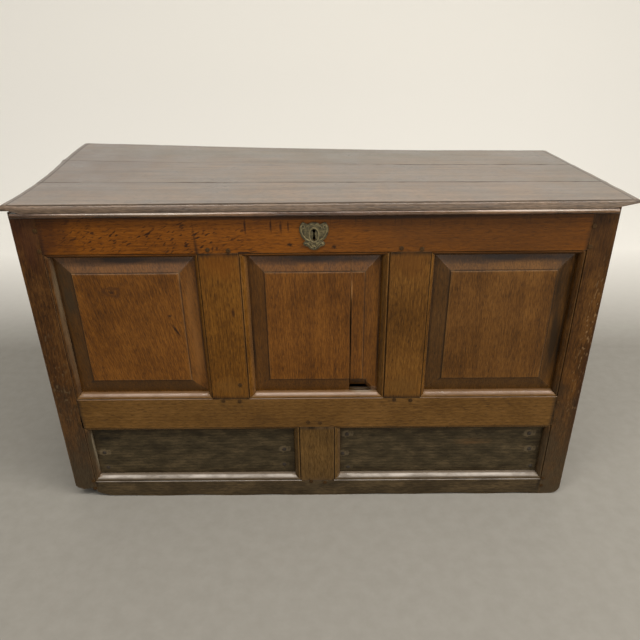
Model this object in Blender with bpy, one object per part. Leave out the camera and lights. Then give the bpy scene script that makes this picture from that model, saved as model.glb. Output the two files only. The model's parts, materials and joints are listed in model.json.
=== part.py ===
"""Joined oak coffer: a panelled chest with a hinged plank lid, strap hinges and an iron lock.

Metres, +Z up, front towards -Y. The origin lies on the floor under the middle of the lid, and the
carcase sits a little to the left of it, because the lid has worked along to the right. Places are
given in the carcase's own frame, whose empty carries everything.
"""

import math
from typing import NamedTuple

import bmesh
import bpy
from mathutils import Matrix, Vector

# Clearances
JOINT_GAP = 0.0003
PANEL_PLAY = 0.0015
TENON_END_PLAY = 0.001
CUT_MARGIN = 0.005

# Carcase, driving sizes
CARCASE_WIDTH = 1.220
CARCASE_DEPTH = 0.460
BOTTOM_RAIL_WIDTH = 0.064
LOWER_OPENING_HEIGHT = 0.132
MIDDLE_RAIL_WIDTH = 0.115
UPPER_OPENING_HEIGHT = 0.326
TOP_RAIL_WIDTH = 0.1075
STILE_WIDTH = 0.068
STILE_DEPTH = 0.050
UPPER_MUNTIN_WIDTH = 0.117
LOWER_MUNTIN_WIDTH = 0.115
BACK_MUNTIN_WIDTH = 0.090
CENTRE_OPENING_WIDTH = 0.280
FRAME_THICKNESS = 0.030
FOOT_WEAR = 0.018
FOOT_ROUND = 0.022

# Quirked ovolo moulding worked round the front and side openings
MOULDING_WIDTH = 0.017
MOULDING_DEPTH = 0.0125
OVOLO_SET = 0.0008
QUIRK_WIDTH = 0.003
QUIRK_DEPTH = 0.003
OVOLO_STEPS = 8

# Panels and their grooves
GROOVE_SET = 0.015
GROOVE_WIDTH = 0.0067
GROOVE_DEPTH = 0.008
BEVEL_WIDTH = 0.034
FIELD_SET = 0.006
FIELD_STEP = 0.002
STEP_DRAFT = 0.0006
SPLIT_PLACE = 0.077
SPLIT_WIDTH = 0.0012
BREAK_WIDTH = 0.050
BREAK_HEIGHT = 0.032

# Tenons
TENON_SET = 0.014
TENON_THICKNESS = 0.009
TENON_SHOULDER = 0.007
TENON_WALL = 0.003
TENON_COVER = 0.011
TENON_ROOT = 0.004
TOP_HAUNCH = 0.022
MUNTIN_TENON_LENGTH = 0.025

# Bead planted along the top of the front, under the lid
BEAD_HEIGHT = 0.013
BEAD_DEPTH = 0.012
BEAD_STEPS = 12

# Floor and cleats
BEARER_HEIGHT = 0.022
BEARER_DEPTH = 0.024
BEARER_SET = 0.008
FLOOR_THICKNESS = 0.015
FLOOR_BOARDS = 4
FLOOR_SEAM = 0.001
CLEAT_THICKNESS = 0.018
END_CLEAT_WIDTH = 0.036
CENTRE_CLEAT_LAP = 0.035
CLEAT_LAP = 0.019

# Lid
LID_THICKNESS = 0.017
LID_FRONT_OVERHANG = 0.022
LID_END_OVERHANG = 0.018
LID_REAR_OVERHANG = 0.035
LID_REAR_TAPER = 0.062
LID_SHIFT = 0.011
FRONT_PLANK_WIDTH = 0.1725
FRONT_PLANK_TAPER = 0.038
MIDDLE_PLANK_WIDTH = 0.1705
MIDDLE_PLANK_TAPER = 0.013
PLANK_SEAM = 0.0010
THUMB_WIDTH = 0.014
THUMB_STEP = 0.0018
NOSING_HEIGHT = 0.006
THUMB_STEPS = 6
BATTEN_WIDTH = 0.045
BATTEN_THICKNESS = 0.022
BATTEN_END_SET = 0.158
BATTEN_CLEAR = 0.030
BATTEN_CHAMFER = 0.012

# Strap hinges
HINGE_END_SET = 0.270
KNUCKLE_RADIUS = 0.006
PIN_RADIUS = 0.003
PIN_PLAY = 0.0003
PIN_HEAD_RADIUS = 0.0045
PIN_HEAD_LENGTH = 0.0025
KNUCKLE_LENGTH = 0.016
KNUCKLE_PLAY = 0.0004
KNUCKLE_CLEAR = 0.0006
LEAF_THICKNESS = 0.003
LEAF_WIDTH = 0.046
LEAF_HEIGHT = 0.075
STRAP_WIDTH = 0.034
STRAP_TIP_WIDTH = 0.022
STRAP_LENGTH = 0.345
STRAP_POINT = 0.030
NOTCH_PLAY = 0.001
ROUND_SEGMENTS = 24

# Lock
KEYHOLE_DROP = 0.043
KEYHOLE_RADIUS = 0.004
KEYHOLE_SLOT_WIDTH = 0.005
KEYHOLE_HEIGHT = 0.0255
KEYHOLE_STEPS = 10
LOCK_WIDTH = 0.120
LOCK_HEIGHT = 0.076
LOCK_DEPTH = 0.024
LOCK_TOP_SET = 0.004
LOCK_WALL = 0.004
LOCK_END_WALL = 0.005
BOLT_TRAVEL = 0.020
BOLT_HEIGHT = 0.014
BOLT_TIP_LENGTH = 0.018
BOLT_TIP_DEPTH = 0.008
BOLT_DROP = 0.0185
BOLT_PLAY = 0.0005
BOLT_CLEAR = 0.004
CATCH_WIDTH = 0.010
CATCH_THICKNESS = 0.003
CATCH_FOOT = 0.0065
CATCH_PLATE_WIDTH = 0.050
CATCH_PLATE_DEPTH = 0.027
CATCH_CLEAR = 0.003
KEY_POCKET_WIDTH = 0.022
KEY_POCKET_PLAY = 0.004

# Escutcheon
ESCUTCHEON_RADIUS = 0.0270
ESCUTCHEON_LOBE = 0.0045
ESCUTCHEON_SCALLOP = 0.0011
ESCUTCHEON_THICKNESS = 0.003
ESCUTCHEON_STEPS = 72
BOSS_RADIUS = 0.0130
BOSS_HEIGHT = 0.0020
BOSS_RISE = 0.0165
ESCUTCHEON_DROP = 0.0565

# Heights and places worked out from the driving sizes
LOWER_BOTTOM = BOTTOM_RAIL_WIDTH
LOWER_TOP = LOWER_BOTTOM + LOWER_OPENING_HEIGHT
UPPER_BOTTOM = LOWER_TOP + MIDDLE_RAIL_WIDTH
UPPER_TOP = UPPER_BOTTOM + UPPER_OPENING_HEIGHT
CARCASE_HEIGHT = UPPER_TOP + TOP_RAIL_WIDTH
LID_BOTTOM = CARCASE_HEIGHT + JOINT_GAP
LID_LENGTH = CARCASE_WIDTH + 2 * LID_END_OVERHANG
LID_DEPTH = LID_FRONT_OVERHANG + CARCASE_DEPTH + LID_REAR_OVERHANG + LID_REAR_TAPER / 2
LID_NOSE = -LID_DEPTH / 2
FRONT_Y = LID_NOSE + LID_FRONT_OVERHANG
BACK_Y = FRONT_Y + CARCASE_DEPTH
HINGE_Y = BACK_Y + KNUCKLE_CLEAR + KNUCKLE_RADIUS
HINGE_Z = CARCASE_HEIGHT - KNUCKLE_RADIUS
FLOOR_BOTTOM = BEARER_SET + BEARER_HEIGHT + JOINT_GAP
FLOOR_TOP = FLOOR_BOTTOM + FLOOR_THICKNESS

OAK = ((0.150, 0.062, 0.018), 0.50, 0.0)
OAK_PANEL = ((0.145, 0.058, 0.016), 0.45, 0.0)
OAK_DARK = ((0.040, 0.030, 0.016), 0.65, 0.0)
OAK_LID = ((0.170, 0.110, 0.070), 0.40, 0.0)
OAK_PLAIN = ((0.120, 0.070, 0.035), 0.70, 0.0)
IRON = ((0.035, 0.030, 0.028), 0.60, 1.0)
BRASS = ((0.200, 0.150, 0.065), 0.45, 1.0)


class Opening(NamedTuple):
    """Sight edges of a panel opening in its wall's own plane."""

    left: float
    right: float
    bottom: float
    top: float


class Wall(NamedTuple):
    """One framed wall: its own X runs along it, its Y goes inwards from the outer face."""

    name: str
    parent: bpy.types.Object
    length: float
    stile: float
    moulding: float


def clear_scene():
    """Removes whatever the file holds at the start."""
    for item in list(bpy.data.objects):
        bpy.data.objects.remove(item, do_unlink=True)


def add_empty(name, location, turn=0.0, parent=None):
    """Adds an empty that carries pieces."""
    empty = bpy.data.objects.new(name, None)
    empty.parent = parent
    empty.location = location
    empty.rotation_euler = (0.0, 0.0, turn)
    bpy.context.scene.collection.objects.link(empty)
    return empty


def add_object(name, shape, parent):
    """Turns a bmesh into a linked object."""
    bmesh.ops.recalc_face_normals(shape, faces=shape.faces)
    mesh = bpy.data.meshes.new(name)
    shape.to_mesh(mesh)
    shape.free()
    item = bpy.data.objects.new(name, mesh)
    item.parent = parent
    bpy.context.scene.collection.objects.link(item)
    return item


def add_piece(name, shape, finish, parent):
    """Adds a finished piece with its own material."""
    colour, roughness, metallic = finish
    item = add_object(name, shape, parent)
    material = bpy.data.materials.new(name)
    material.use_nodes = True
    surface = material.node_tree.nodes["Principled BSDF"]
    surface.inputs["Base Color"].default_value = (*colour, 1.0)
    surface.inputs["Roughness"].default_value = roughness
    surface.inputs["Metallic"].default_value = metallic
    item.data.materials.append(material)
    return item


def add_pivoted(name, shape, finish, pivot):
    """Adds a moving piece, given in the carcase's places, under the empty on its joint."""
    bmesh.ops.translate(shape, verts=shape.verts, vec=-pivot.location)
    return add_piece(name, shape, finish, pivot)


def add_cutter(name, shape, parent):
    """Adds a hidden solid for Boolean cuts."""
    cutter = add_object(name, shape, parent)
    cutter.hide_render = True
    cutter.display_type = "WIRE"
    return cutter


def apply_boolean(target, cutter, operation):
    """Adds one exact Boolean to a piece."""
    modifier = target.modifiers.new(cutter.name, "BOOLEAN")
    modifier.operation = operation
    modifier.object = cutter
    modifier.solver = "EXACT"


def cut(target, cutter):
    """Takes the cutter away from the piece."""
    apply_boolean(target, cutter, "DIFFERENCE")


def join(target, cutter):
    """Fuses the cutter with the piece."""
    apply_boolean(target, cutter, "UNION")


def add_box(shape, low, high):
    """Adds a box between two corners to a shape."""
    made = bmesh.ops.create_cube(shape, size=1.0)
    low = Vector(low)
    size = Vector(high) - low
    for vert in made["verts"]:
        share = vert.co + Vector((0.5, 0.5, 0.5))
        vert.co = low + Vector((share.x * size.x, share.y * size.y, share.z * size.z))


def box(low, high):
    """Box between two corners."""
    shape = bmesh.new()
    add_box(shape, low, high)
    return shape


def prism(outline, axis, low, high):
    """Extrudes a flat outline along one axis; the outline's pair is the other two axes in order."""
    places = {
        "x": lambda pair, along: (along, pair[0], pair[1]),
        "y": lambda pair, along: (pair[0], along, pair[1]),
        "z": lambda pair, along: (pair[0], pair[1], along),
    }
    shape = bmesh.new()
    rings = []
    for along in (low, high):
        rings.append([shape.verts.new(places[axis](pair, along)) for pair in outline])
    join_rings(shape, rings)
    return shape


def join_rings(shape, rings):
    """Skins rings of like count into a solid with closed ends."""
    count = len(rings[0])
    for first, second in zip(rings, rings[1:]):
        for index in range(count):
            after = (index + 1) % count
            shape.faces.new((first[index], first[after], second[after], second[index]))
    shape.faces.new(rings[0])
    shape.faces.new(rings[-1])


def lathe_along_x(stations, centre):
    """Turned solid about an axis along X, from (x, radius) stations."""
    shape = bmesh.new()
    rings = []
    for along, radius in stations:
        ring = []
        for index in range(ROUND_SEGMENTS):
            angle = 2.0 * math.pi * index / ROUND_SEGMENTS
            place = Vector((along, radius * math.cos(angle), radius * math.sin(angle)))
            ring.append(shape.verts.new(centre + place))
        rings.append(ring)
    join_rings(shape, rings)
    return shape


def tidy_outline(points):
    """Drops doubled and straight-line points and turns the outline counter-clockwise."""
    kept = []
    for point in points:
        place = Vector(point)
        if not kept or (place - kept[-1]).length > JOINT_GAP / 10:
            kept.append(place)
    corners = []
    for index, here in enumerate(kept):
        before = (here - kept[index - 1]).normalized()
        after = (kept[(index + 1) % len(kept)] - here).normalized()
        if abs(before.cross(after)) > 1e-6:
            corners.append(here)
    area = sum(corners[i - 1].cross(corners[i]) for i in range(len(corners)))
    return corners if area > 0 else corners[::-1]


def inset(outline, distance):
    """Moves every side of a counter-clockwise outline inwards."""
    moved = []
    for index, here in enumerate(outline):
        before = (here - outline[index - 1]).normalized()
        after = (outline[(index + 1) % len(outline)] - here).normalized()
        first = Vector((-before.y, before.x))
        second = Vector((-after.y, after.x))
        middle = (first + second).normalized()
        moved.append(here + middle * distance / middle.dot(first))
    return moved


def edge_points(start, end, sight, flat, gaps):
    """Edge of a member: on its sight line beside openings, stepped back with mitres elsewhere."""
    step = abs(flat - sight)
    points = [(start, flat)]
    for low, high in gaps:
        points += [(low - step, flat), (low, sight), (high, sight), (high + step, flat)]
    points.append((end, flat))
    return points


def rail_outline(wall, bottom, top, below, above):
    """Outline of a rail between the wall's stiles."""
    free = JOINT_GAP / 2
    half = wall.length / 2 - wall.stile + wall.moulding
    lower = [(-half, bottom - free), (half, bottom - free)]
    upper = [(-half, top + free), (half, top + free)]
    if below:
        gaps = [(item.left, item.right) for item in below]
        lower = edge_points(-half, half, bottom, bottom + wall.moulding, gaps)
    if above:
        gaps = [(item.left, item.right) for item in above]
        upper = edge_points(-half, half, top, top - wall.moulding, gaps)
    return inset(tidy_outline(lower + upper[::-1]), JOINT_GAP / 2)


def stile_outline(wall, side, foot=0.0, foot_round=0.0):
    """Outline of a corner stile in its wall's plane; side is -1 on the left, 1 on the right."""
    outer = side * wall.length / 2
    sight = side * (wall.length / 2 - wall.stile + JOINT_GAP / 2)
    points = [(sight, foot), (sight, CARCASE_HEIGHT), (outer, CARCASE_HEIGHT)]
    if foot_round:
        for index in range(OVOLO_STEPS + 1):
            angle = math.pi / 2 * index / OVOLO_STEPS
            across = outer - side * foot_round * (1 - math.cos(angle))
            points.append((across, foot + foot_round * (1 - math.sin(angle))))
    else:
        points.append((outer, foot))
    return tidy_outline(points)


def rail_reliefs(wall, side, openings):
    """Outlines of what the rails' ends take from a stile's moulded edge, mitred at each opening."""
    sight = side * (wall.length / 2 - wall.stile)
    flat = sight + side * wall.moulding
    beyond = sight - side * CUT_MARGIN
    past = wall.moulding + CUT_MARGIN
    lows = [-past] + [item.top for item in openings]
    highs = [item.bottom for item in openings] + [CARCASE_HEIGHT + past]
    outlines = []
    for low, high in zip(lows, highs):
        points = [(beyond, low), (sight, low), (flat, low + wall.moulding)]
        points += [(flat, high - wall.moulding), (sight, high), (beyond, high)]
        outlines.append(inset(tidy_outline(points), -JOINT_GAP / 2))
    return outlines


def muntin_outline(wall, left, right, opening):
    """Outline of an upright between two openings of like height."""
    moulding = wall.moulding
    gaps = [(opening.bottom, opening.top)]
    low = opening.bottom - moulding
    high = opening.top + moulding
    first = edge_points(low, high, left, left + moulding, gaps)
    second = edge_points(low, high, right, right - moulding, gaps)
    points = [(across, height) for height, across in first]
    points += [(across, height) for height, across in second[::-1]]
    return inset(tidy_outline(points), JOINT_GAP / 2)


def moulding_profile():
    """Quirked ovolo from the sight edge to the face: (distance outwards, depth) pairs."""
    reach = MOULDING_WIDTH - QUIRK_WIDTH
    rise = MOULDING_DEPTH - OVOLO_SET
    points = []
    for index in range(OVOLO_STEPS + 1):
        angle = math.pi / 2 * index / OVOLO_STEPS
        points.append((reach * (1 - math.cos(angle)), MOULDING_DEPTH - rise * math.sin(angle)))
    points.append((reach + JOINT_GAP, QUIRK_DEPTH))
    points.append((reach + QUIRK_WIDTH / 2, QUIRK_DEPTH))
    points.append((MOULDING_WIDTH, 0.0))
    return points


def add_opening_cutter(wall, name, opening, rebated=False):
    """Cutter for one opening: the moulding round it and the panel groove or rebate behind."""
    shape = bmesh.new()
    if wall.moulding:
        section = moulding_profile()
        section += [(MOULDING_WIDTH, -CUT_MARGIN), (-CUT_MARGIN, -CUT_MARGIN)]
        section.append((-CUT_MARGIN, MOULDING_DEPTH))
        corners = ((-1, -1), (1, -1), (1, 1), (-1, 1))
        rings = []
        for across, up in corners:
            ring = []
            for out, depth in section:
                place_x = (opening.left if across < 0 else opening.right) + across * out
                place_z = (opening.bottom if up < 0 else opening.top) + up * out
                ring.append(shape.verts.new((place_x, depth, place_z)))
            rings.append(ring)
        for index, ring in enumerate(rings):
            after = rings[(index + 1) % len(rings)]
            for step in range(len(section)):
                following = (step + 1) % len(section)
                shape.faces.new((ring[step], ring[following], after[following], after[step]))
    depth = FRAME_THICKNESS + CUT_MARGIN if rebated else GROOVE_SET + GROOVE_WIDTH
    low = (opening.left - GROOVE_DEPTH, GROOVE_SET, opening.bottom - GROOVE_DEPTH)
    high = (opening.right + GROOVE_DEPTH, depth, opening.top + GROOVE_DEPTH)
    add_box(shape, low, high)
    return add_cutter(name, shape, wall.parent)


def add_tenon(wall, member, socket, low, high, deep):
    """Fuses a tenon with its member and cuts the mortise; deep is the mortise's extra corner play."""
    name = f"{member.name}_{socket.name}"
    gap = Vector((JOINT_GAP, JOINT_GAP, JOINT_GAP))
    deep = Vector(deep)
    grow_low = Vector([min(value, 0.0) for value in deep])
    grow_high = Vector([max(value, 0.0) for value in deep])
    join(member, add_cutter(name + "_tenon", box(low, high), wall.parent))
    mortise = box(Vector(low) - gap + grow_low, Vector(high) + gap + grow_high)
    cut(socket, add_cutter(name + "_mortise", mortise, wall.parent))


def add_rail_tenons(wall, rail, stiles, bottom, top, length):
    """Tenons at both ends of a rail."""
    shoulder = wall.length / 2 - wall.stile + wall.moulding
    for side, stile in zip((-1, 1), stiles):
        ends = sorted((side * (shoulder - TENON_ROOT), side * (shoulder + length)))
        low = (ends[0], TENON_SET, bottom)
        high = (ends[1], TENON_SET + TENON_THICKNESS, top)
        add_tenon(wall, rail, stile, low, high, (side * TENON_END_PLAY, 0.0, 0.0))


def add_muntin_tenons(wall, muntin, lower_rail, upper_rail, left, right, opening):
    """Tenons at the foot and head of a muntin."""
    inner = wall.moulding + TENON_SHOULDER
    depth = (TENON_SET, TENON_SET + TENON_THICKNESS)
    foot = opening.bottom - wall.moulding
    head = opening.top + wall.moulding
    low = (left + inner, depth[0], foot - MUNTIN_TENON_LENGTH)
    high = (right - inner, depth[1], foot + TENON_ROOT)
    add_tenon(wall, muntin, lower_rail, low, high, (0.0, 0.0, -TENON_END_PLAY))
    low = (left + inner, depth[0], head - TENON_ROOT)
    high = (right - inner, depth[1], head + MUNTIN_TENON_LENGTH)
    add_tenon(wall, muntin, upper_rail, low, high, (0.0, 0.0, TENON_END_PLAY))


def fielded_panel(opening):
    """Raised panel: thin tongue, broad bevel, small step and flat field."""
    tongue = GROOVE_DEPTH - PANEL_PLAY
    face = GROOVE_SET + JOINT_GAP
    loops = (
        (tongue, GROOVE_SET + GROOVE_WIDTH - JOINT_GAP),
        (tongue, face),
        (-PANEL_PLAY, face),
        (-BEVEL_WIDTH, FIELD_SET + FIELD_STEP),
        (-BEVEL_WIDTH - STEP_DRAFT, FIELD_SET),
    )
    shape = bmesh.new()
    rings = []
    for out, depth in loops:
        left, right = opening.left - out, opening.right + out
        bottom, top = opening.bottom - out, opening.top + out
        corners = ((left, bottom), (right, bottom), (right, top), (left, top))
        rings.append([shape.verts.new((across, depth, height)) for across, height in corners])
    join_rings(shape, rings)
    return shape


def plain_panel(opening, front, back):
    """Flat board that fills an opening and its groove."""
    tongue = GROOVE_DEPTH - PANEL_PLAY
    low = (opening.left - tongue, front, opening.bottom - tongue)
    high = (opening.right + tongue, back, opening.top + tongue)
    return box(low, high)


def rail_solid(outline, thickness=FRAME_THICKNESS):
    """Frame member from its outline, flush with the wall's outer face."""
    return prism(outline, "y", 0.0, thickness)


def front_openings():
    """The two low openings and the three upper ones of the front."""
    half = CARCASE_WIDTH / 2 - STILE_WIDTH
    post = LOWER_MUNTIN_WIDTH / 2
    centre = CENTRE_OPENING_WIDTH / 2
    side = centre + UPPER_MUNTIN_WIDTH
    lower = [
        Opening(-half, -post, LOWER_BOTTOM, LOWER_TOP),
        Opening(post, half, LOWER_BOTTOM, LOWER_TOP),
    ]
    upper = [
        Opening(-half, -side, UPPER_BOTTOM, UPPER_TOP),
        Opening(-centre, centre, UPPER_BOTTOM, UPPER_TOP),
        Opening(side, half, UPPER_BOTTOM, UPPER_TOP),
    ]
    return lower, upper


def side_openings(wall):
    """The low and the upper opening of a side."""
    half = wall.length / 2 - wall.stile
    lower = Opening(-half, half, LOWER_BOTTOM, LOWER_TOP)
    upper = Opening(-half, half, UPPER_BOTTOM, UPPER_TOP)
    return lower, upper


def tenon_heights(bottom, top, lower_open, upper_open, moulding):
    """Lowest and highest edge of a rail's tenon, clear of its mouldings and free edges."""
    low = bottom + (moulding + TENON_SHOULDER if lower_open else TOP_HAUNCH)
    high = top - (moulding + TENON_SHOULDER if upper_open else TOP_HAUNCH)
    return low, high


def relieve_stile(stile, wall, side, openings):
    """Cuts the seats of one wall's rails into a stile, as deep as the rails are thick."""
    for index, outline in enumerate(rail_reliefs(wall, side, openings)):
        seat = prism(outline, "y", -CUT_MARGIN, FRAME_THICKNESS + JOINT_GAP)
        cut(stile, add_cutter(f"{stile.name}_{wall.name}_seat_{index}", seat, wall.parent))


def build_stiles(front, sides, back):
    """Four corner posts, each shaped by the two walls that meet in it."""
    lower, upper = front_openings()
    depth = STILE_DEPTH - JOINT_GAP / 2
    stiles = {}
    for side, word, wall in ((-1, "left", sides[0]), (1, "right", sides[1])):
        foot = FOOT_WEAR if side < 0 else 0.0
        rounding = FOOT_ROUND if side > 0 else 0.0
        shape = prism(stile_outline(front, side, foot, rounding), "y", 0.0, depth)
        front_stile = add_piece(f"front_{word}_stile", shape, OAK, front.parent)
        relieve_stile(front_stile, front, side, [lower[0], upper[0]])
        shape = prism(stile_outline(back, -side), "y", 0.0, depth)
        rear_stile = add_piece(f"rear_{word}_stile", shape, OAK, back.parent)
        for stile, end in ((front_stile, -side), (rear_stile, side)):
            relieve_stile(stile, wall, end, side_openings(wall))
        stiles["front_" + word] = front_stile
        stiles["rear_" + word] = rear_stile
    return stiles


def build_front(wall, stiles):
    """Rails, muntins, panels and low boards of the front."""
    lower, upper = front_openings()
    left_stile, right_stile = stiles["front_left"], stiles["front_right"]
    pair = (left_stile, right_stile)
    length = STILE_WIDTH - MOULDING_WIDTH - TENON_SET - TENON_THICKNESS - TENON_WALL
    levels = (
        ("front_bottom_rail", 0.0, LOWER_BOTTOM, [], lower),
        ("front_middle_rail", LOWER_TOP, UPPER_BOTTOM, lower, upper),
        ("front_top_rail", UPPER_TOP, CARCASE_HEIGHT, upper, []),
    )
    rails = []
    for name, bottom, top, below, above in levels:
        shape = rail_solid(rail_outline(wall, bottom, top, below, above))
        rail = add_piece(name, shape, OAK, wall.parent)
        low, high = tenon_heights(bottom, top, below, above, MOULDING_WIDTH)
        add_rail_tenons(wall, rail, pair, low, high, length)
        rails.append(rail)
    bottom_rail, middle_rail, top_rail = rails
    muntins = []
    uprights = (
        ("front_lower_muntin", lower[0].right, lower[1].left, lower[0], bottom_rail, middle_rail),
        ("front_left_muntin", upper[0].right, upper[1].left, upper[0], middle_rail, top_rail),
        ("front_right_muntin", upper[1].right, upper[2].left, upper[0], middle_rail, top_rail),
    )
    for name, left, right, opening, foot_rail, head_rail in uprights:
        shape = rail_solid(muntin_outline(wall, left, right, opening))
        muntin = add_piece(name, shape, OAK, wall.parent)
        add_muntin_tenons(wall, muntin, foot_rail, head_rail, left, right, opening)
        muntins.append(muntin)
    post, left_muntin, right_muntin = muntins
    edges = (
        ("front_low_left_opening", lower[0], True, (left_stile, post, bottom_rail, middle_rail)),
        ("front_low_right_opening", lower[1], True, (post, right_stile, bottom_rail, middle_rail)),
        ("front_left_opening", upper[0], False, (left_stile, left_muntin, middle_rail, top_rail)),
        ("front_centre_opening", upper[1], False, (left_muntin, right_muntin, middle_rail, top_rail)),
        ("front_right_opening", upper[2], False, (right_muntin, right_stile, middle_rail, top_rail)),
    )
    for name, opening, rebated, members in edges:
        cutter = add_opening_cutter(wall, name, opening, rebated)
        for member in members:
            cut(member, cutter)
    add_piece("front_left_panel", fielded_panel(upper[0]), OAK_PANEL, wall.parent)
    add_piece("front_right_panel", fielded_panel(upper[2]), OAK_PANEL, wall.parent)
    build_split_panel(wall, upper[1])
    for word, opening in zip(("left", "right"), lower):
        board = plain_panel(opening, GROOVE_SET + JOINT_GAP, FRAME_THICKNESS - JOINT_GAP)
        add_piece(f"front_low_{word}_board", board, OAK_DARK, wall.parent)
    return top_rail


def build_split_panel(wall, opening):
    """Centre panel, split along the grain, with the foot of the narrow piece broken away."""
    main = add_piece("front_centre_panel", fielded_panel(opening), OAK_PANEL, wall.parent)
    strip = add_piece("front_centre_panel_strip", fielded_panel(opening), OAK_PANEL, wall.parent)
    past = CUT_MARGIN + GROOVE_DEPTH
    low = (opening.left - past, -CUT_MARGIN, opening.bottom - past)
    high = (opening.right + past, FRAME_THICKNESS, opening.top + past)
    split = SPLIT_PLACE - SPLIT_WIDTH / 2
    cut(main, add_cutter("split_right", box((split, low[1], low[2]), high), wall.parent))
    split = SPLIT_PLACE + SPLIT_WIDTH / 2
    cut(strip, add_cutter("split_left", box(low, (split, high[1], high[2])), wall.parent))
    broken = box(low, (SPLIT_PLACE + BREAK_WIDTH, high[1], opening.bottom + BREAK_HEIGHT))
    cut(strip, add_cutter("split_break", broken, wall.parent))


def build_side(wall, word, front_stile, rear_stile):
    """Rails and panels of one side."""
    lower, upper = side_openings(wall)
    pair = (front_stile, rear_stile) if word == "right" else (rear_stile, front_stile)
    length = STILE_DEPTH - MOULDING_WIDTH - TENON_COVER
    levels = (
        ("bottom", 0.0, LOWER_BOTTOM, [], [lower]),
        ("middle", LOWER_TOP, UPPER_BOTTOM, [lower], [upper]),
        ("top", UPPER_TOP, CARCASE_HEIGHT, [upper], []),
    )
    rails = []
    for place, bottom, top, below, above in levels:
        shape = rail_solid(rail_outline(wall, bottom, top, below, above))
        rail = add_piece(f"{word}_side_{place}_rail", shape, OAK, wall.parent)
        low, high = tenon_heights(bottom, top, below, above, MOULDING_WIDTH)
        add_rail_tenons(wall, rail, pair, low, high, length)
        rails.append(rail)
    for place, opening, members in (("low", lower, rails[:2]), ("upper", upper, rails[1:])):
        cutter = add_opening_cutter(wall, f"{word}_side_{place}_opening", opening)
        for member in (*pair, *members):
            cut(member, cutter)
    back = GROOVE_SET + GROOVE_WIDTH - JOINT_GAP
    add_piece(f"{word}_side_upper_panel", fielded_panel(upper), OAK_PANEL, wall.parent)
    low_panel = plain_panel(lower, GROOVE_SET + JOINT_GAP, back)
    add_piece(f"{word}_side_low_panel", low_panel, OAK_PANEL, wall.parent)


def build_back(wall, stiles):
    """Plain framed back: two rails, one muntin and two flat panels."""
    half = wall.length / 2 - wall.stile
    post = BACK_MUNTIN_WIDTH / 2
    openings = [
        Opening(-half, -post, LOWER_BOTTOM, UPPER_TOP),
        Opening(post, half, LOWER_BOTTOM, UPPER_TOP),
    ]
    pair = (stiles["rear_right"], stiles["rear_left"])
    length = STILE_WIDTH - TENON_SET - TENON_THICKNESS - TENON_WALL
    rails = []
    levels = (
        ("back_bottom_rail", 0.0, LOWER_BOTTOM, [], openings),
        ("back_top_rail", UPPER_TOP, CARCASE_HEIGHT, openings, []),
    )
    for name, bottom, top, below, above in levels:
        shape = rail_solid(rail_outline(wall, bottom, top, below, above))
        rail = add_piece(name, shape, OAK_PLAIN, wall.parent)
        low, high = tenon_heights(bottom, top, below, above, 0.0)
        add_rail_tenons(wall, rail, pair, low, high, length)
        rails.append(rail)
    shape = rail_solid(muntin_outline(wall, -post, post, openings[0]))
    muntin = add_piece("back_muntin", shape, OAK_PLAIN, wall.parent)
    add_muntin_tenons(wall, muntin, rails[0], rails[1], -post, post, openings[0])
    back = GROOVE_SET + GROOVE_WIDTH - JOINT_GAP
    for word, opening, stile in zip(("right", "left"), openings, pair):
        cutter = add_opening_cutter(wall, f"back_{word}_opening", opening)
        for member in (stile, muntin, *rails):
            cut(member, cutter)
        panel = plain_panel(opening, GROOVE_SET + JOINT_GAP, back)
        add_piece(f"back_{word}_panel", panel, OAK_PLAIN, wall.parent)
    return rails[1]


def build_floor(carcase):
    """Floor boards laid from front to back on two bearers, and cleats behind the low boards."""
    inner = CARCASE_WIDTH / 2 - STILE_WIDTH - JOINT_GAP
    wide = CARCASE_WIDTH / 2 - FRAME_THICKNESS - JOINT_GAP
    front = FRONT_Y + FRAME_THICKNESS + JOINT_GAP
    rear = BACK_Y - FRAME_THICKNESS - JOINT_GAP
    for word, low, high in (("front", front, front + BEARER_DEPTH), ("rear", rear - BEARER_DEPTH, rear)):
        bearer = box((-inner, low, BEARER_SET), (inner, high, BEARER_SET + BEARER_HEIGHT))
        add_piece(f"{word}_floor_bearer", bearer, OAK_PLAIN, carcase)
    post_front = FRONT_Y + STILE_DEPTH + JOINT_GAP
    post_rear = BACK_Y - STILE_DEPTH - JOINT_GAP
    width = 2 * inner / FLOOR_BOARDS
    for index in range(FLOOR_BOARDS):
        left = -inner + index * width + FLOOR_SEAM / 2
        right = -inner + (index + 1) * width - FLOOR_SEAM / 2
        outline = [(left, front), (right, front)]
        if index == FLOOR_BOARDS - 1:
            outline += [(right, post_front), (wide, post_front), (wide, post_rear), (right, post_rear)]
        outline += [(right, rear), (left, rear)]
        if index == 0:
            outline += [(left, post_rear), (-wide, post_rear), (-wide, post_front), (left, post_front)]
        board = prism(tidy_outline(outline), "z", FLOOR_BOTTOM, FLOOR_TOP)
        add_piece(f"floor_board_{index + 1}", board, OAK_PLAIN, carcase)
    low = FLOOR_TOP + JOINT_GAP
    high = LOWER_TOP + CLEAT_LAP
    centre = LOWER_MUNTIN_WIDTH / 2 + CENTRE_CLEAT_LAP
    spans = (
        ("left", -inner, -inner + END_CLEAT_WIDTH),
        ("centre", -centre, centre),
        ("right", inner - END_CLEAT_WIDTH, inner),
    )
    for word, left, right in spans:
        cleat = box((left, front, low), (right, front + CLEAT_THICKNESS, high))
        add_piece(f"{word}_board_cleat", cleat, OAK_PLAIN, carcase)


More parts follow.
